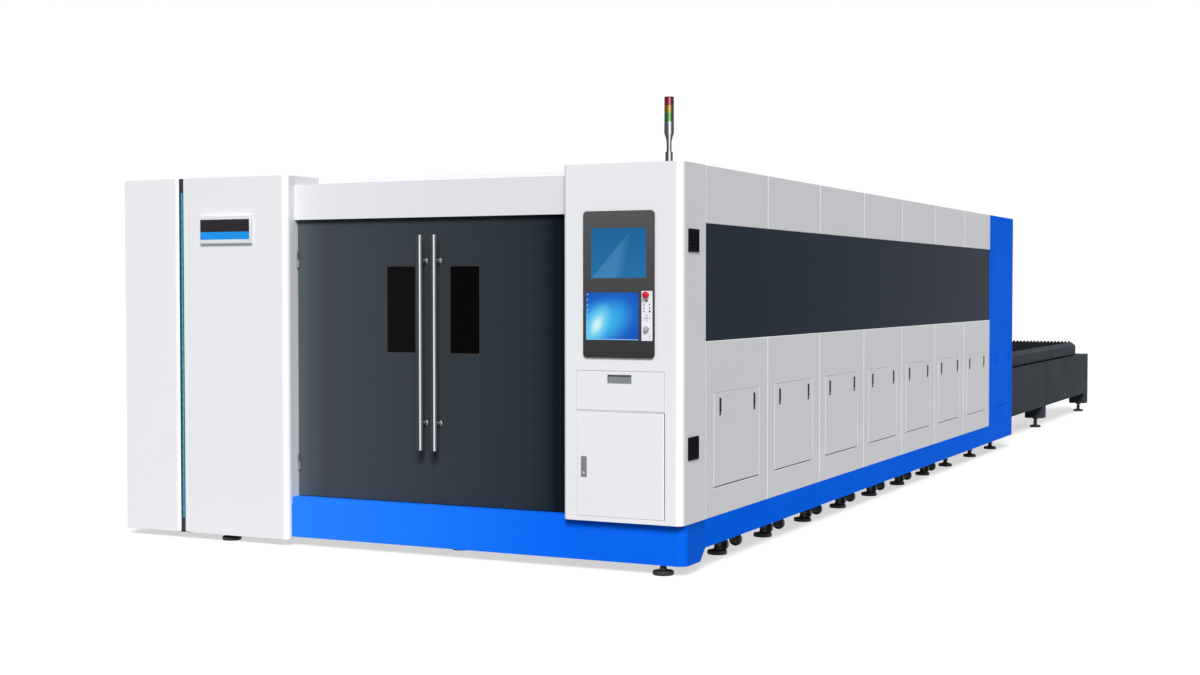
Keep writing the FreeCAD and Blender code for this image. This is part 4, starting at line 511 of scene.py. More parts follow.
WHEEL_RADIUS, WHEEL_WIDE, WHEEL_UP, CASTER_INSET, BEHIND_FOOT = 40, 32, 42, 162, (112, 340)
caster_places = [spot(across, deep + step, WHEEL_UP) for deep in SIDE_FEET[:7]
                 for step in BEHIND_FOOT
                 for across in (CASTER_INSET, body_width - CASTER_INSET)]
black_nylon = mottled("black_nylon_moulded", 12, ("#141517", "#2B2D30"), (0.32, 0.55), 4.0)
half = WHEEL_WIDE/2
rim = [(9, 0), (9, 2), (26, 4), (30, 0.5), (36, 0), (39, 2), (WHEEL_RADIUS, 6)]
wheel = turned([(radius, deep - half) for radius, deep in rim]
               + [(radius, half - deep) for radius, deep in reversed(rim)], points="back",
               sides=28)
dressed(wheel, "caster_wheels", black_nylon, "caster_plastic", "machine",
        "transport_casters", places=caster_places)
fork = bmesh.new()
FORK_TOP = BED_BASE - WHEEL_UP
for near, far in ((-half - 5, -half - 1.5), (half + 1.5, half + 5)):
    block(mm(-17, near, -12), mm(17, far, FORK_TOP - 8), 0.8, 12, form=fork)
block(mm(-24, -half - 6, FORK_TOP - 14), mm(24, half + 6, FORK_TOP - 9), 0.8, form=fork)
block(mm(-30, -34, FORK_TOP - 6), mm(30, 34, FORK_TOP), 1.0, 6, "z", form=fork)
turned([(20, FORK_TOP - 10), (20, FORK_TOP - 5)], sides=20, form=fork)
turned([(6, -half - 9), (7, -half - 8), (7, -half - 4), (4, -half - 4), (4, half + 4),
        (7, half + 4), (7, half + 8), (6, half + 9)], points="back", sides=6, form=fork)
dressed(fork, "caster_forks", black_oxide, "caster_plastic", "machine",
        "transport_casters", places=caster_places)

# Enclosure frame: angle posts at every seam, top rails and roof cross tubes, welded and
# primed like the bed.  The wall and roof panels are screwed to it.
softened("wall_frame", frame_paint, "frame_paint", 1.5)

# Side walls: folded steel panels above and below the window band, one pair to a bay, in white
# powder coat.  Their rounded upright folds catch the light beside each seam, and the coat paints
# a highlight on them as well.
white_coat = powder_coat("white_powder_coat", ("#E6E7E9", "#E1E3E6"), 0.40, 0.10, 0.01,
                         painted_highlight="#FAFBFC")
PANEL_FOLD = 4
softened("right_wall", white_coat, "white_paint", 0.8,
         (lambda at: abs(at.x - RIGHT_FACE) < 0.1*MM, PANEL_FOLD))
softened("left_wall", white_coat, "white_paint", 0.8,
         (lambda at: abs(at.x - LEFT_FACE) < 0.1*MM, PANEL_FOLD))

# Window band: tinted acrylic sheet behind the panels of each bay, almost black and shiny.
# It is clipped between the upper and the lower panels.
# Sheet that hangs between clips is never quite flat; a ripple is as long as a forearm
tinted_acrylic = mottled("tinted_acrylic_sheet", 350, ("#293340", "#2B3541"), 0.22, 1.0,
                         (0.15, 4), IOR=1.49, Specular_IOR_Level=0.003)
softened("window_bands", tinted_acrylic, "tinted_panel", 1.0)
FIRST_SEAM, MODULE_PITCH, MODULES = 170, 1023, 7
low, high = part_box("window_bands")
joint = CORNER + (FIRST_SEAM + MODULE_PITCH)*MM
for side, far, near in (("right", RIGHT_FACE - 10*MM, RIGHT_FACE - 4.1*MM),
                        ("left", low.x + 0.1*MM, low.x + 6*MM)):
    # A slim clip of the same sheet closes the joint between two bays
    clip = block(mm(0, -2.4, 0, (far, joint, low.z)), mm(0, 2.4, 0, (near, joint, high.z)), 0)
    dressed(clip, f"band_clips_{side}", tinted_acrylic, "tinted_panel", count=MODULES - 1,
            step=(0, MODULE_PITCH, 0))

# Side skirts: one long folded strip on each side in blue powder coat, which hides the bed
# above the feet.  The left one is notched round the arm under the laser cabinet.
blue_coat = powder_coat("blue_powder_coat", ("#066CFA", "#0567F2"), 0.40, 0.10, 0.001)
softened("side_skirts", blue_coat, "blue_paint", 0.8)

# Roof: seven white folded panels laid on the cross tubes and screwed down, 8 mm below the
# top of the walls.
softened("roof_panels", white_coat, "white_paint", 1.0)

# Rear portal: a welded arch of 5 mm sheet in blue, stiffened with ribs, with the mouth
# that the pallets pass.  It closes the rear of the enclosure.
softened("rear_portal", blue_coat, "blue_paint", 1.2)

# Service hatches: eight folded steel flaps low in the right wall and the portal.  Each
# hangs on a rolled hinge along its lower edge and opens to reach the bed and scrap trays.


def tray(low, high, wall, open_to, soft=1.0, steps=2):
    """A folded sheet round a box, open to the sides named, such as -x or +y."""
    form = bmesh.new()
    opened = [("xyz".index(side[1]), int(side[0] == "+")) for side in open_to]
    outer, inner = ({ends: form.verts.new([
        (low[i], high[i])[end] + ((i, end) not in opened)*(inset, -inset)[end]
        for i, end in enumerate(ends)]) for ends in product((0, 1), repeat=3)}
        for inset in (0, wall*MM))
    for axis, end in product(range(3), (0, 1)):
        loop = [pair[:axis] + (end,) + pair[axis:] for pair in ((0, 0), (1, 0), (1, 1), (0, 1))]
        if (axis, end) in opened:
            for i in range(4):
                form.faces.new((outer[loop[i - 1]], outer[loop[i]], inner[loop[i]],
                                inner[loop[i - 1]]))
        else:
            form.faces.new([outer[ends] for ends in loop])
            form.faces.new([inner[ends] for ends in loop])
    if soft:
        skin = set(outer.values())
        rounded(form, [edge for edge in form.edges if set(edge.verts) <= skin], soft, steps)
    return form


HATCH_FOLD, HINGE_RADIUS, KNUCKLES = 18, 4, 9
LATCH_TALL, LATCH_INSET, LATCH_DROP = 104, 90, 27
zinc_black = powder_coat("black_lacquer_on_zinc_casting", ("#171A1D", "#131518"), 0.35, 0.1,
                         0.002)
latch_black = powder_coat("grey_black_lacquer_on_zinc_casting", ("#2B3035", "#262A2F"), 0.35,
                          0.1, 0.002)
latch_blue = powder_coat("blue_lacquer_on_zinc_casting", ("#0A55CC", "#0A50C0"), 0.35, 0.1,
                         0.003)
for node in [f"service_hatch_{number}" for number in range(1, 8)] + ["portal_hatch"]:
    low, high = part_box(node)
    coat, slot, pin, lacquer = (
        (blue_coat, "blue_paint", blue_coat, latch_blue) if node == "portal_hatch"
        else (white_coat, "white_paint", black_oxide, latch_black))
    hinge_up = low.z + HINGE_RADIUS*MM
    leaf = tray(mm(-HATCH_FOLD, -1, 0, (RIGHT_FACE, low.y, hinge_up)),
                mm(0, 1, 1.5, (RIGHT_FACE, high.y, high.z)), 2.5, ["-x"], 1.6, 3)
    dressed(leaf, f"{node}_leaf", coat, slot, node, node)
    # The sheet is rolled round the hinge pin in knuckles with a hairline between them
    wide = (high.y - low.y)/MM/KNUCKLES
    rolled = bmesh.new()
    for index in range(KNUCKLES):
        turned([(3.4, 0.6), (4, 1.2), (4, wide - 1.2), (3.4, wide - 0.6)],
               mm(-HINGE_RADIUS, index*wide, 0, (RIGHT_FACE, low.y, hinge_up)), "back", 14,
               rolled)
    dressed(rolled, f"{node}_hinge", pin, slot, node, node)
    latch = block(mm(-1, -8.5, -LATCH_TALL), mm(2, 8.5, 0), 0.7, 3, "x")
    block(mm(1, -5.5, 22 - LATCH_TALL), mm(7.5, 5.5, -4), 1.6, 2.5, "x", latch)
    turned([(6.5, 1), (6.5, 4), (5.5, 5), (2, 5), (2, 4)], mm(0, 0, 10 - LATCH_TALL),
           "right", 20, latch)
    dressed(latch, f"{node}_latches", lacquer, "black_plastic", node, node,
            places=[mm(0, LATCH_INSET, -LATCH_DROP, (RIGHT_FACE, low.y, high.z)),
                    mm(0, -LATCH_INSET, -LATCH_DROP, (RIGHT_FACE, high.y, high.z))])

# Front skirt: blue folded sheet under the doors and the console, rounded at the corner
# and cut up at a slope to meet the side skirt.


def painted_skirt_light_and_shade(tree, place):
    """Blue with painted light and shade: paler to the left, and a painted shadow near the top,
    where the console keeps the light off it."""
    base = toned(tree, place, [
        (3700, "#3686FC"), (2650, "#2A80F9"), (1900, "#1F7AF8"), (1450, "#1873F7"),
        (800, "#0C68F0"), (600, "#0B65EC")], None)
    # Painted shadow under the console: the top of the skirt is darkened towards #062A66
    at = add(tree, "SeparateXYZ", {"Vector": place}).outputs
    rise = add(tree, "MapRange", {"Value": at["Z"], "From Min": 232*MM, "From Max": 306*MM})
    here = add(tree, "MapRange", {"Value": at["X"], "From Min": spot(748, 0).x,
                                  "From Max": spot(740, 0).x, "To Max": 0.45})
    share = add(tree, "Math", {0: rise, 1: here}, operation="MULTIPLY")
    return add(tree, "Mix", {0: share, 6: base, 7: tint("#062A66")}, data_type="RGBA")


skirt_blue = powder_coat("blue_powder_coat_with_painted_light_and_shade", painted_skirt_light_and_shade, 0.40, 0.10, 0.003)
SKIRT_LONGER = 11
skirt_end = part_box("front_skirt")[0].x
softened("front_skirt", skirt_blue, "blue_paint", 1.0, fitted=lambda at: mm(
    -SKIRT_LONGER if at.x - skirt_end < 0.1*MM else 0, 0, 0, at))

# Lintel: a white folded panel over the doors, in the same sheet as the walls.  It is
# screwed between the two front cabinets.
# Its colour is painted light and shade: paler at the left end, and greyer and darker towards the
# console on the right
lintel_painted_light_and_shade = powder_coat("white_powder_coat_with_painted_light_and_shade", [
    (2650, "#E8E9EB"), (2450, "#E3E4E6"), (1800, "#DEDFE1"), (800, "#DBDCDE")], 0.42, 0.10,
    0.05)
softened("door_lintel", lintel_painted_light_and_shade, "white_paint", 1.5)

# Left cabinet front: one tall folded sheet with a rounded edge beside the doors and a
# shallow bevel beside the light channel.  The fixed hinge halves are welded to it.
JAMB, FACADE_FACE, FOLD_MADE, FOLD_SEEN = 2650, -170, 50, 42


def tighter_fold(at):
    """Sets a corner of the fold beside the doors on the smaller radius of the real one."""
    centre = spot(JAMB + FOLD_MADE, FACADE_FACE + FOLD_MADE, at.z/MM)
    arm = at - centre
    long = arm.length/MM
    if arm.x > -0.1*MM and arm.y < 0.1*MM and FOLD_MADE - 5 < long < FOLD_MADE + 1:
        centre = spot(JAMB + FOLD_SEEN, FACADE_FACE + FOLD_SEEN, at.z/MM)
        return centre + arm*((long - FOLD_MADE + FOLD_SEEN)/long)
    return at


softened("left_front", white_coat, "white_paint", 1.5, fitted=tighter_fold)

# Light channel: a dark blue anodised aluminium extrusion over the full height, with a
# strip of lit diffuser in its groove that shows the state of the machine.
navy_anodised = brushed("dark_blue_anodised_aluminium", "#0D0D24", 0.45, (300, 300, 3), 0.05,
                        0.1)
softened("light_channel", navy_anodised, "channel_paint", 0.8)
lit_diffuser, tree, place = new_finish("lit_polycarbonate_diffuser")
# Light-emitting diodes sit 60 mm apart behind the diffuser and leave faint brighter spots
at = add(tree, "SeparateXYZ", {"Vector": place}).outputs
wave = add(tree, "Math", {0: at["Z"], 1: 2*pi/(60*MM)}, operation="MULTIPLY")
wave = add(tree, "Math", {0: wave}, operation="SINE")
spots = add(tree, "MapRange", {"Value": wave, "From Min": -1.0, "To Max": 0.12})
low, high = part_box("light_strip")
edge = ramped(tree, at["X"], [
    (low.x + share*(high.x - low.x), colour) for share, colour in (
        (0, "#004C5E"), (0.30, "#045A6C"), (0.48, "#46B4C8"), (0.75, "#3CA8BE"),
        (1, "#2C94A8"))])
fall = add(tree, "MapRange", {"Value": at["Z"], "From Min": low.z, "From Max": low.z + 0.7,
                              "To Min": 0.45, "To Max": 0.0})
bluer = add(tree, "Mix", {0: fall, 6: edge, 7: tint("#3C86B4")}, data_type="RGBA")
light = add(tree, "Mix", {0: spots, 6: bluer, 7: tint("#7ADCEA")}, data_type="RGBA")
shaded(lit_diffuser, Base_Color=tint("#02161A"), Roughness=0.35, Specular_IOR_Level=0.02,
       Emission_Color=light, Emission_Strength=0.92)
softened("light_strip", lit_diffuser, "light_diffuser", 1.2)

# Blank plate: a moulded pale frame on studs, with a dark band over a blue one.  It is
# left without any name.


def gloss_plastic(name, tones, roughness=0.25):
    """Smooth moulded plastic: a hard shine with faint flow marks."""
    return mottled(name, 25, tones, (roughness - 0.06, roughness + 0.08), IOR=1.49,
                   Specular_IOR_Level=0.2)


pale_frame = powder_coat("pale_lacquered_frame", ("#DDE0E4", "#D2D6DB"), 0.30, 0.05)
softened("blank_plate", pale_frame, "plate_plastic", 1.0)
low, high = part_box("blank_plate")
for name, tones, bottom, top in (("plate_dark_band", ("#201B20", "#1C181D"), 76, 154),
                                 ("plate_blue_band", ("#1293E8", "#0F8CE0"), 28, 76)):
    band = block(mm(9, -0.8, bottom, low), mm(-9, 2, top, (high.x, low.y, low.z)), 0.5, 2)
    dressed(band, name, gloss_plastic(f"{name}_acrylic", tones), "plate_plastic")

# Laser cabinet: a folded steel box along the left wall that holds the laser source and
# its chiller, with two louvred doors in its left face.


def plate(low, high, holes):
    """A sheet that faces along x, with oblong holes given as (y, z, y, z) corners."""
    form = bmesh.new()
    ys = sorted({low[1], high[1], *[hole[i] for hole in holes for i in (0, 2)]})
    zs = sorted({low[2], high[2], *[hole[i] for hole in holes for i in (1, 3)]})
    cells = [((y, z), (next_y, z), (next_y, next_z), (y, next_z))
             for y, next_y in zip(ys, ys[1:]) for z, next_z in zip(zs, zs[1:])
             if not any(hole[0] < (y + next_y)/2 < hole[2] and hole[1] < (z + next_z)/2 < hole[3]
                        for hole in holes)]
    used = sorted({at for cell in cells for at in cell})
    outer, inner = ({at: form.verts.new((x, *at)) for at in used} for x in (low[0], high[0]))
    sides = [side for cell in cells for side in zip(cell, cell[1:] + cell[:1])]
    for cell in cells:
        form.faces.new([outer[at] for at in cell])
        form.faces.new([inner[at] for at in reversed(cell)])
    for start, end in sides:
        if (end, start) not in sides:
            form.faces.new((outer[end], outer[start], inner[start], inner[end]))
    bmesh.ops.recalc_face_normals(form, faces=form.faces)
    bmesh.ops.dissolve_limit(form, angle_limit=radians(FLAT_FOLD), verts=form.verts,
                             edges=form.edges)
    rounded(form, folds(form.edges, 60), 0.8)
    return form


low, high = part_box("laser_cabinet")
DOOR_SHEET, SLOT_WIDE, SLOT_TALL, SLOT_PITCH, SLOTS = 4, 300, 9, 24, 12
LOUVRES = (("low", 160), ("high", 1560))
dressed(tray(mm(DOOR_SHEET, 0, 0, low), high, 3, ["+x"], 2.0), "laser_cabinet_shell",
        white_coat, "white_paint", "machine", "laser_cabinet")
middle = (low.y + high.y)/2
for index, (front, rear) in enumerate(((low.y + 2*MM, middle - 1.5*MM),
                                       (middle + 1.5*MM, high.y - 2*MM))):
    centre = (front + rear)/2
    slots = [(centre - SLOT_WIDE/2*MM, foot, centre + SLOT_WIDE/2*MM, foot + SLOT_TALL*MM)
             for place, base in LOUVRES
             for foot in (low.z + (base + row*SLOT_PITCH)*MM for row in range(SLOTS))]
    leaf = plate((low.x, front, low.z + 4*MM), (low.x + DOOR_SHEET*MM, rear, high.z - 4*MM),
                 slots)
    dressed(leaf, f"laser_cabinet_door_{index}", white_coat, "white_paint", "machine",
            "laser_cabinet")
    for place, base in LOUVRES:
        mesh_sheet = block(mm(3, -160, base - 8, (low.x, centre, low.z)),
                           mm(4.5, 160, base + SLOT_PITCH*SLOTS, (low.x, centre, low.z)), 0.3)
        dressed(mesh_sheet, f"laser_cabinet_filter_{index}_{place}", black_rubber,
                "black_plastic")

# Doors: two swing leaves, folded from steel sheet in dark grey powder coat, each with a
# laser-safe pane in a rubber gasket.  They hang on lift-off hinges and meet in the middle.
# The colour is painted light and shade: paler on the left leaf, darker to the right, and a
# painted shadow beside the console
door_painted_light_and_shade = powder_coat("dark_grey_powder_coat_with_painted_light_and_shade", [
    (2610, "#535A60"), (2557, "#495259"), (2445, "#42474E"), (2296, "#40464D"),
    (2113, "#3D434A"), (1602, "#343B41"), (1273, "#2F363D"), (1006, "#2B3138"),
    (908, "#212930"), (836, "#10171E")], 0.45, 0.12, 0.01)
# The panes are painted lighter on the left leaf than on the right: painted light
laser_safe = mottled("laser_safe_tinted_acrylic_with_painted_light", 120, [
    (2600, "#110F0F"), (1700, "#0C0A0A"), (1600, "#030203"), (800, "#020102")], (0.10, 0.24),
    3.0, IOR=1.49, Specular_IOR_Level=0.03)
for side in ("right", "left"):
    softened(f"{side}_door", door_painted_light_and_shade, "door_paint", 1.5)
    softened(f"{side}_window", laser_safe, "dark_glass", 0.8)
    low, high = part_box(f"{side}_window")
    gasket = tray(mm(0, -2.5, 0, low), mm(0, 0.5, 0, (high.x, low.y, high.z)), 5,
                  ["-y", "+y"], 0)
    dressed(gasket, f"{side}_gasket", black_rubber, "foot_rubber", f"{side}_door")
# The fixed barrels welded to the left cabinet are masked while it is painted white
low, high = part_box("left_door")
HINGE_IN, HINGE_OUT, BARREL_RADIUS, BARREL_TALL = 2637, -68, 7.6, 48
barrels = bmesh.new()
for level in (520, 1780):
    turned([(6.6, 0), (BARREL_RADIUS, 1), (BARREL_RADIUS, BARREL_TALL - 1),
            (6.6, BARREL_TALL)], spot(HINGE_IN, HINGE_OUT, level - BARREL_TALL), sides=24,
           form=barrels)
    block(spot(HINGE_IN + 34, HINGE_OUT - 2.6, level - BARREL_TALL - 0.6),
          spot(HINGE_IN, HINGE_OUT + 2.6, level + 0.4), 0.5, form=barrels)
barrel_grey = powder_coat("grey_zinc_plated_hinge", ("#8D9094", "#83868A"), 0.40, 0.05, 0.1)
dressed(barrels, "left_hinge_barrels", barrel_grey, "door_paint", "machine", "left_front")
seal = block(mm(-1, 16.5, 6, (high.x, low.y, low.z)), mm(3.4, 48, -6, (high.x, low.y, high.z)),
             0.4)
dressed(seal, "meeting_seal", door_painted_light_and_shade, "foot_rubber", "left_door")

# Pull bars: brushed stainless tube, 38 mm across, closed by flat plugs.  Each stands off
# its leaf on two turned posts with collars, bolted through the sheet.


def tube_with_painted_highlight(name, stops, roughness=0.3, specular=0.1, **sockets):
    """A bright tube with painted light: its dark flanks and bright line are painted by the way
    each face turns. stops give the colour seen at shares of the half width, -1 left and 1 right."""
    paint, tree, place = new_finish(name)
    outward = add(tree, "TexCoord").outputs["Normal"]
    side = add(tree, "VectorMath", {0: outward, 1: (0.90, 0.436, 0.0)},
               operation="DOT_PRODUCT")
    return shaded(paint, Base_Color=ramped(tree, side, stops), Roughness=roughness,
                  Specular_IOR_Level=specular, **sockets)


BAR_RADIUS, POST_RADIUS, COLLAR_RADIUS = 19, 9, 17
# The bars' bright line and dark flanks are a painted highlight and painted shade
stainless = tube_with_painted_highlight("brushed_stainless_tube", [
    (-1.0, "#4A4E52"), (-0.50, "#36393D"), (-0.10, "#3E4246"), (0.06, "#DCE0E4"),
    (0.26, "#F2F5F7"), (0.46, "#7E8387"), (0.72, "#5C6266"), (1.0, "#686E72")])
for side in ("right", "left"):
    low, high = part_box(f"{side}_handle")
    axis = Vector(((low.x + high.x)/2, low.y + BAR_RADIUS*MM, low.z))
    tall, reach = (high.z - low.z)/MM, (high.y - axis.y)/MM
    bar = turned([(16, 1.2), (16.4, 0), (18.4, 0), (BAR_RADIUS, 0.8), (BAR_RADIUS, tall - 0.8),
                  (18.4, tall), (16.4, tall), (16, tall - 1.2)], axis, sides=48)
    for level in (795, 1765):
        turned([(COLLAR_RADIUS - 1, 0), (COLLAR_RADIUS, 1), (COLLAR_RADIUS, 5),
                (COLLAR_RADIUS - 2, 7), (POST_RADIUS + 1, 7.5), (POST_RADIUS, 8.5),
                (POST_RADIUS, reach - 22), (POST_RADIUS + 4, reach - 19),
                (POST_RADIUS + 4, reach - 6)], (axis.x, high.y, level*MM), "front", 32, bar)
    dressed(bar, f"{side}_pull_bar", stainless, "stainless", f"{side}_door",
            f"{side}_handle")

# Console cabinet: white powder-coated sheet with rounded front corners and shelves inside
# for the control, the keyboard drawer and the computer.
softened("console_cabinet", white_coat, "white_paint", 0.9)

# Bezel and screens: a dark grey moulded surround screwed to the console, round a monitor
# above and a touch screen below, both lit.


def rising(first, last, low, high):
    """What makes a colour that goes from first to last between two heights in metres."""
    def colour(tree, place):
        up = add(tree, "SeparateXYZ", {"Vector": place}).outputs["Z"]
        share = add(tree, "MapRange", {"Value": up, "From Min": low, "From Max": high})
        return toned(tree, place, (first, last), share)
    return colour


# Spark-eroded mould grain is under 1 mm; drawn at 4 mm so that it shows
# The bezel is painted lighter towards its top: painted light
bezel_abs_with_painted_light = mottled("dark_grey_moulded_abs_with_painted_light", 4, rising("#303030", "#525253", 1.21, 2.03), 0.42,
                   dimples=(0.12, 0.3), Specular_IOR_Level=0.10)
softened("screen_bezel", bezel_abs_with_painted_light, "bezel_plastic", 1.4)


def along(tree, place, corner, direction):
    """How far a point lies from a corner along a direction in the plane of the screen."""
    from_corner = add(tree, "VectorMath", {0: place, 1: tuple(corner)}, operation="SUBTRACT")
    unit = Vector((direction[0], 0, direction[1])).normalized()
    return add(tree, "VectorMath", {0: from_corner, 1: tuple(unit)}, operation="DOT_PRODUCT")


SCREEN_GLASS = {"Base_Color": tint("#04080C"), "Roughness": 0.18, "Specular_IOR_Level": 0.05,
                "Emission_Strength": 0.95}
monitor, tree, place = new_finish("lit_monitor_with_a_blue_field_and_painted_reflection")
low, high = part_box("upper_screen")
field = rising("#2472AA", "#1A659C", low.z, high.z)(tree, place)
# Painted reflection: a paler diagonal sheen near the top right corner of the screen
ray = mm(-80, 0, 0, (high.x, 0, high.z))
edges = [add(tree, "MapRange", {"Value": along(tree, place, ray, way), "From Max": wide*MM,
                                "To Max": most})
         for way, wide, most in (((1.08, -1.0), 4, 0.35), ((-0.98, 0.21), 60, 1.0))]
painted_highlight = add(tree, "Math", {0: edges[0], 1: edges[1]}, operation="MULTIPLY")
picture = add(tree, "Mix", {0: painted_highlight, 6: field, 7: tint("#5AA0CC")}, data_type="RGBA")
shaded(monitor, Emission_Color=picture, **SCREEN_GLASS)
softened("upper_screen", monitor, "screen_face", 0.5)

touch, tree, place = new_finish("lit_touch_screen_with_a_blue_glow")
low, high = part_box("lower_screen")
glow_at = Vector((low.x + 0.21*(high.x - low.x), 0, low.z + 0.32*(high.z - low.z)))


def glow_reach(long_way, thin_way):
    """Distance from the middle of the glow, shorter along its long axis."""
    squeezed = add(tree, "Math", {0: along(tree, place, glow_at, long_way), 1: 0.55},
                   operation="MULTIPLY")
    around = add(tree, "CombineXYZ", {"X": along(tree, place, glow_at, thin_way),
                                      "Y": squeezed})
    return add(tree, "VectorMath", {0: around}, operation="LENGTH")


wide_glow, core = glow_reach((0.92, 0.39), (0.39, -0.92)), glow_reach((0.5, 0.86), (0.86, -0.5))
picture = tint("#1142A8")
for reach, near, far, colour in ((wide_glow, 100, 250, "#1B66CC"),
                                 (wide_glow, 45, 150, "#3CB4F2"), (core, 15, 85, "#7FDCF6"),
                                 (core, 0, 42, "#DDF8FD")):
    share = add(tree, "MapRange", {"Value": reach, "From Min": near*MM, "From Max": far*MM,
                                   "To Min": 1.0, "To Max": 0.0},
                interpolation_type="SMOOTHSTEP")
    picture = add(tree, "Mix", {0: share, 6: picture, 7: tint(colour)}, data_type="RGBA")
shaded(touch, Emission_Color=picture, **SCREEN_GLASS)
softened("lower_screen", touch, "screen_face", 0.5)
lit_symbol, tree, place = new_finish("lit_pale_symbols")
shaded(lit_symbol, Base_Color=tint("#0A1A2A"), Roughness=0.3, Emission_Strength=0.9,
       Emission_Color=rising("#8CC4EE", "#B9D4F5", low.z, high.z)(tree, place))
top = (low.x, low.y, high.z)
dressed(block(mm(5, -0.3, -14, top), mm(12, 0.4, -7, top), 0.1, 1.6), "screen_symbols",
        lit_symbol, "screen_face", count=8, step=(0, 0, -30))
dressed(block(mm(2, -0.3, 1.5, low), mm(-2, 0.4, 5.5, (high.x, low.y, low.z)), 0.1, 0.6),
        "screen_bar", lit_symbol, "screen_face")

# Button panel: a white membrane-faced plate at the right of the touch screen with small
# keys, a four-way jog pad and holes for the stop button, the start button and the knob.
low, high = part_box("button_panel")
PANEL_MIDDLE, PANEL_FACE, PAIR, JOG_UP = 207, -185, 17, 1437
membrane = gloss_plastic("white_polyester_membrane", ("#E9E9ED", "#E4E4E9"), 0.38)
dressed(block(spot(240, PANEL_FACE, low.z/MM), spot(174, PANEL_FACE + 18, high.z/MM), 0.8, 3),
        "button_plate", membrane, "panel_white", "machine", "button_panel")


def on_panel(across, up, out=0):
    """A place on the button panel in millimetres from its middle line, up, and out."""
    return spot(PANEL_MIDDLE + across, PANEL_FACE - out, up)


def key(form, across, up, radius, tall, sides=24):
    """A low round key that stands out of the panel."""
    turned([(radius + 0.8, -0.2), (radius + 0.8, 0.6), (radius, 0.8), (radius, tall - 0.6),
            (radius - 0.8, tall)], on_panel(across, up), "front", sides, form)


grey_plastic = gloss_plastic("grey_moulded_plastic", ("#888B90", "#7F8287"), 0.4)
black_key = gloss_plastic("black_moulded_plastic", ("#1C1D20", "#141518"), 0.35)
pale_key = gloss_plastic("pale_grey_moulded_plastic", ("#B9BBC0", "#ADB0B5"), 0.4)
small, dark, pale = bmesh.new(), bmesh.new(), bmesh.new()
for across, up in ((-PAIR, 1512), (PAIR, 1492), (-PAIR, 1492), (PAIR, 1474)):
    key(small, across, up, 3.6, 2.5)
for across, up in ((0, 1531), (-PAIR, 1474)):
    key(dark, across, up, 4.4, 3.0)
for across, up in ((0, 14), (0, -14), (14, 0), (-14, 0)):
    key(small, across, JOG_UP + up, 4.0, 2.0, 3)
key(pale, 0, JOG_UP, 6.5, 1.8)
for up in (1338, 1325):
    key(small, -PAIR, up, 2.6, 1.2, 4)
for form, name, paint in ((small, "panel_keys_grey", grey_plastic),
                          (dark, "panel_keys_black", black_key),
                          (pale, "jog_pad_centre", pale_key)):
    dressed(form, name, paint, "control_grey")

# Stop button, start button and feed knob: moulded plastic on shanks through the panel.
# The red mushroom latches when it is pushed, and the knob turns without end.
STOP_UP, START_UP, KNOB_UP, GRIPS = 1565, 1512, 1378, 20
stop_red = gloss_plastic("red_moulded_plastic", ("#D8202C", "#C51A26"), 0.28)
collar = turned([(13, 0), (13, 3), (12, 4.5), (10, 5)], on_panel(0, STOP_UP), "front", 36)
dressed(collar, "stop_collar", black_key, "control_grey")
stop = turned([(8, -18), (8, 5.5), (11, 8), (13, 12), (14, 15), (17, 16.5), (18.4, 18),
               (18.8, 21), (18.2, 24.5), (15.8, 27.4), (11.4, 29.2), (6, 30)],
              on_panel(0, STOP_UP), "front", 40)
dressed(stop, "stop_mushroom", stop_red, "stop_red", "stop_button", "stop_button")
start = turned([(4.2, -18), (4.2, 0), (4.6, 0.5), (4.6, 4.2), (3.8, 5)],
               on_panel(PAIR, START_UP), "front", 24)
dressed(start, "start_key", pale_key, "control_grey", "start_button", "start_button")
knob_plastic = gloss_plastic("pale_grey_turned_plastic", ("#B4B6BA", "#A6A8AD"), 0.4)
knob = turned([(8, -18), (8, 0.5), (14.5, 0.5), (15, 1.5), (14.5, 19), (13, 21.2), (4, 22)],
              on_panel(0, KNOB_UP), "front", 40)
for angle in (2*pi*index/GRIPS for index in range(GRIPS)):
    turned([(1.2, 2), (1.2, 19)], on_panel(14.4*cos(angle), KNOB_UP + 14.4*sin(angle)),
           "front", 6, knob)
dressed(knob, "knob_grip", knob_plastic, "control_grey", "feed_knob", "feed_knob")
chrome = brushed("chromed_trim", "#D5D7DA", 0.15, (200, 200, 200), 0.02)
rim = turned([(15, 0.5), (17, 0.8), (17, 2.5), (15.2, 4)], on_panel(0, KNOB_UP), "front", 40)
block(on_panel(1, KNOB_UP + 2, 22.2), on_panel(-1, KNOB_UP + 12, 21), 0.3, form=rim)
dressed(rim, "knob_rim", chrome, "control_grey", "feed_knob")

# Keyboard drawer: a white front on a folded tray that slides on the console's runners,
# with a grey recessed pull.  A keyboard lies in it.
LEAF_GROWTH = 1.3


def grown(node):
    """Widens a leaf and makes it taller, so that the joint round it is a hairline."""
    low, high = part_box(node)

    def place(at):
        at = at.copy()
        for axis in (0, 2):
            if at[axis] - low[axis] < 0.05*MM:
                at[axis] -= LEAF_GROWTH*MM
            elif high[axis] - at[axis] < 0.05*MM:
                at[axis] += LEAF_GROWTH*MM
        return at
    return place


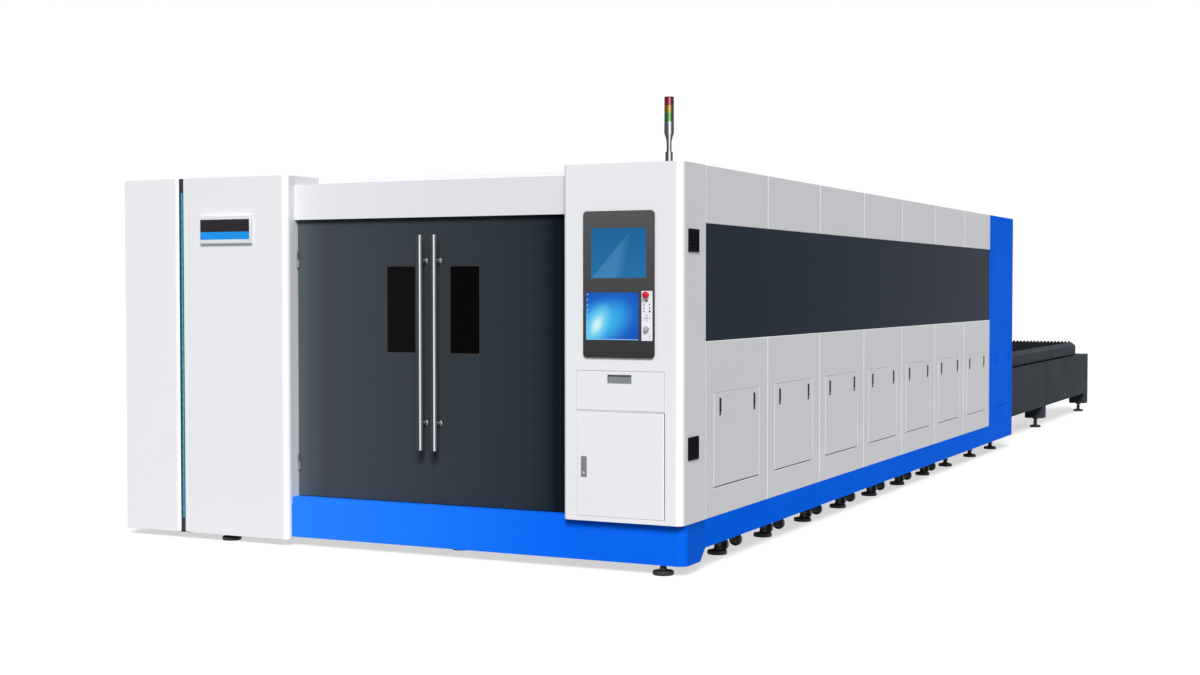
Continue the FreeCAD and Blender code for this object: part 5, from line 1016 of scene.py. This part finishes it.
softened("keyboard_drawer", white_coat, "white_paint", 0.5, fitted=grown("keyboard_drawer"))
softened("drawer_pull", grey_plastic, "control_grey", 0.8)
softened("keyboard", black_key, "black_plastic", 1.5)
KEY, KEY_PITCH, KEY_ROWS, KEY_COLUMNS = 16, 19, 6, 22
slope = Matrix.Rotation(radians(4.66), 4, "X")
cap = block(mm(0, 0, 0), mm(KEY, KEY, 4), 1.2, 2, "z")
bmesh.ops.transform(cap, matrix=Matrix.Translation(
    mm(7, 9, 11.5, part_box("keyboard")[0])) @ slope, verts=cap.verts)
dressed(cap, "keyboard_keys", grey_plastic, "black_plastic", "drawer",
        places=[slope @ mm(0, row*(KEY_PITCH + 1), 0) for row in range(KEY_ROWS)],
        count=KEY_COLUMNS, step=(KEY_PITCH, 0, 0))

# Console door: a folded leaf on a rolled hinge at its right edge, with a paddle latch of
# grey die-cast zinc let into it.
softened("console_door", white_coat, "white_paint", 0.5, fitted=grown("console_door"))
latch_grey = powder_coat("grey_lacquer_on_zinc_casting", ("#7E8185", "#707377"), 0.35, 0.05,
                         0.2)
softened("door_latch", latch_grey, "control_grey", 0.7)
low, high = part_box("door_latch")
lock = turned([(5.5, -1), (5.5, 0.4), (5, 1), (2.4, 1), (2, 0.2)],
              ((low.x + high.x)/2, low.y, low.z + 24*MM), "front", 24)
dressed(lock, "latch_lock", chrome, "control_grey", "locker_latch")

# Side filters: black moulded fan guards with level louvres, clipped into the side of the
# console above and below.
softened("side_filters", zinc_black, "black_plastic", 0.6)

# Signal tower: a dark metal tube in a collar on top of the console, with green, amber and
# red lenses of ribbed plastic under a black cap.
# Both tower tubes carry a painted highlight down their fronts and painted shade on their flanks
dark_tube = tube_with_painted_highlight("dark_polished_tube", [
    (-1.0, "#444A4E"), (-0.70, "#46484F"), (-0.36, "#565860"), (-0.20, "#606268"),
    (0.00, "#FFFFFF"), (0.20, "#F2F4F8"), (0.40, "#6A7074"), (0.58, "#484C50"),
    (1.0, "#54585C")])
pole_tube = tube_with_painted_highlight("tube_with_painted_highlight", [
    (-1.0, "#3A4042"), (-0.36, "#3E4448"), (-0.18, "#74787C"), (0.02, "#E8ECF0"),
    (0.20, "#E4E8EC"), (0.38, "#7A7E82"), (0.52, "#4A5054"), (1.0, "#464C50")])
TOWER_LEFT = 4.5
low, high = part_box("beacon_post")
base = Vector(((low.x + high.x)/2 - TOWER_LEFT*MM, (low.y + high.y)/2, 0))
post = turned([(14.2, 2418), (15, 2428), (19, 2445), (25, 2463), (27.4, 2472), (27.4, 2529),
               (25.5, 2530), (25.5, 2532)], base, sides=40)
dressed(post, "tower_post", dark_tube, "black_plastic", "machine", "beacon_post")
pole = turned([(19, 2300), (21, 2301), (21, 2362), (20, 2365), (14, 2365.5), (14, 2419)],
              base, sides=40)
dressed(pole, "tower_pole", pole_tube, "black_plastic", "machine", "beacon_post")
for name, bottom, top, (flank, glass, centre, shade) in (
        ("green", 2532, 2583, ("#1E4C22", "#2E7222", "#9ADA8E", "#2A4822")),
        ("amber", 2583, 2623, ("#5A4212", "#886818", "#ECD086", "#5A4520")),
        ("red", 2623, 2672, ("#5A181E", "#821A22", "#E48088", "#4A1E26"))):
    # Clear coloured plastic round a lamp, with painted shade on its flanks and a painted
    # highlight down the middle
    lens = tube_with_painted_highlight(f"{name}_polycarbonate", [
        (-1.0, flank), (-0.62, flank), (-0.38, glass), (-0.20, glass), (0.0, centre),
        (0.08, centre), (0.42, shade), (1.0, shade)], 0.25, 0.12, Subsurface_Weight=0.1,
        Subsurface_Radius=(0.006, 0.003, 0.002))
    crest = top - 5 if name == "red" else top
    ribs = [(27.4 if index % 2 else 26.6, bottom + 1.5 + (crest - bottom - 3)*index/10)
            for index in range(11)]
    ribbed = turned([(25.5, bottom)] + ribs + [(25.5, crest)], base, sides=40)
    dressed(ribbed, f"{name}_lens", lens, f"lamp_{name}", "machine", f"beacon_{name}")
cap = turned([(27, 2667), (27.5, 2667.6), (27.5, 2670), (26, 2672)], base, sides=40)
dressed(cap, "tower_cap", black_key, "black_plastic", "machine", "beacon_red")

# Gantry: a welded box beam that rolls on the bed rails, with two rails on its front face.
# The aluminium carriage runs along it and carries the lift slide.
gantry_coat = powder_coat("light_grey_powder_coat", ("#A9ADB1", "#9DA1A6"), 0.45, 0.15, 0.4)
softened("gantry_beam", gantry_coat, "frame_paint", 2.0)
milled = brushed("milled_aluminium", "#C3C5C8", 0.34, (6, 240, 240))
softened("head_carriage", milled, "machined_aluminium", 1.5)
softened("lift_slide", milled, "machined_aluminium", 1.5)

# Cutting head: an anodised housing with the focusing barrel, a white ceramic ring and a
# copper nozzle below, and the collimator and the fibre plug above.
low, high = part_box("cutting_head")
head_spot = Vector(((low.x + high.x)/2, high.y - 52.5*MM, low.z))
anodised = brushed("clear_anodised_aluminium", "#AEB2B8", 0.36, (200, 200, 8), 0.05)
housing = block(mm(0, 0, 190, low), mm(0, 0, 400, (high.x, high.y, low.z)), 1.5, 8, "z")
block(mm(14, -3, 215, low), mm(-14, 1, 375, (high.x, low.y, low.z)), 1.0, 4, form=housing)
turned([(34, 70), (37.5, 72), (37.5, 92), (36, 94), (36, 98), (37.5, 100), (37.5, 150),
        (35, 153), (35, 160), (38, 162), (38, 191)], head_spot, form=housing)
turned([(30, 399), (30, 408), (27, 411), (27, 470), (29, 473), (29, 500), (24, 508),
        (15, 510)], head_spot, form=housing)
ceramic = mottled("white_alumina_ceramic", 2, ("#EDEAE2", "#DDD9CE"), 0.4)
ring = turned([(14, 30), (21, 34), (24, 46), (24, 56), (30, 66), (30, 70.5)], head_spot)
copper = brushed("turned_copper", "#C98A63", 0.28, (40, 40, 900), 0.08)
nozzle = turned([(1.2, 1.5), (2, 0), (4, 0), (9, 12), (12, 14), (12, 24), (14, 25), (14, 31)],
                head_spot)
for form, name, paint in ((housing, "head_housing", anodised),
                          (ring, "ceramic_ring", ceramic), (nozzle, "copper_nozzle", copper)):
    dressed(form, name, paint, "machined_aluminium", "lift", "cutting_head")

# Exchange table: two folded and welded steel sides on four leg boxes, tied across, in
# dark grey textured paint, with the covered shaft and gear motor that move the pallets.
table_coat = powder_coat("dark_textured_paint", ("#3A4047", "#393F46"), 0.60, 0.12, 0.01)
TABLE_SIDE_TOP = 749
pallet_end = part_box("upper_pallet")[1].y


def run_out(at):
    """Slopes the ends of the guide lips down to the sides, where the pallet leaves them."""
    if at.z > (TABLE_SIDE_TOP + 1)*MM and at.y > pallet_end:
        return Vector((at.x, pallet_end - 5*MM, at.z))
    return at


softened("exchange_table", table_coat, "table_paint", 1.0, fitted=run_out)

# Pallets: two welded frames of tube with leaning side guards and steel rollers let into
# their side tubes.  The upper one rests outside on the table, the lower one in the bed.
# Mill scale and heat marks lie in patches a few centimetres across
slat_steel = mottled("hot_rolled_slat_steel", 45, ("#191B1E", "#232629"), (0.45, 0.7), 4.0,
                     Metallic=0.1, Specular_IOR_Level=0.02)
SLAT_THICK, SLAT_PITCH, TOOTH_PITCH, TOOTH_TALL, COMB_PROUD = 4, 60, 43, 22, 15
END_ROOM, COMB_BACK = 28, 12


def saw_plate(low, high, y, tip):
    """An upright plate between two corners with saw teeth cut in its upper edge."""
    teeth = int((high.x - low.x)/(TOOTH_PITCH*MM))
    pitch = (high.x - low.x)/teeth
    outline = [(high.x, low.z), (low.x, low.z)]
    for left in (low.x + index*pitch for index in range(teeth)):
        outline += [(left, tip - TOOTH_TALL*MM), (left + pitch*0.42, tip),
                    (left + pitch*0.58, tip)]
    outline.append((high.x, tip - TOOTH_TALL*MM))
    return prism([[(x, y + shift*MM, z) for x, z in outline] for shift in (0, SLAT_THICK)])


for level in ("upper", "lower"):
    body = f"{level}_pallet"
    softened(body, table_coat, "table_paint", 1.2)
    low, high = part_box(f"{level}_slats")
    front, rear = (end.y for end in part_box(body))
    slat = saw_plate(low, high, front + END_ROOM*MM, high.z)
    dressed(slat, f"{level}_slat_row", slat_steel, "slat_steel", body, f"{level}_slats",
            count=int((rear - front - 2*END_ROOM*MM)/(SLAT_PITCH*MM)) + 1,
            step=(0, SLAT_PITCH, 0))
    # The rearmost plate is a comb that stands a little higher and keeps the sheet in place
    comb = saw_plate(low, high, rear - COMB_BACK*MM, high.z + COMB_PROUD*MM)
    dressed(comb, f"{level}_comb", slat_steel, "slat_steel", body)
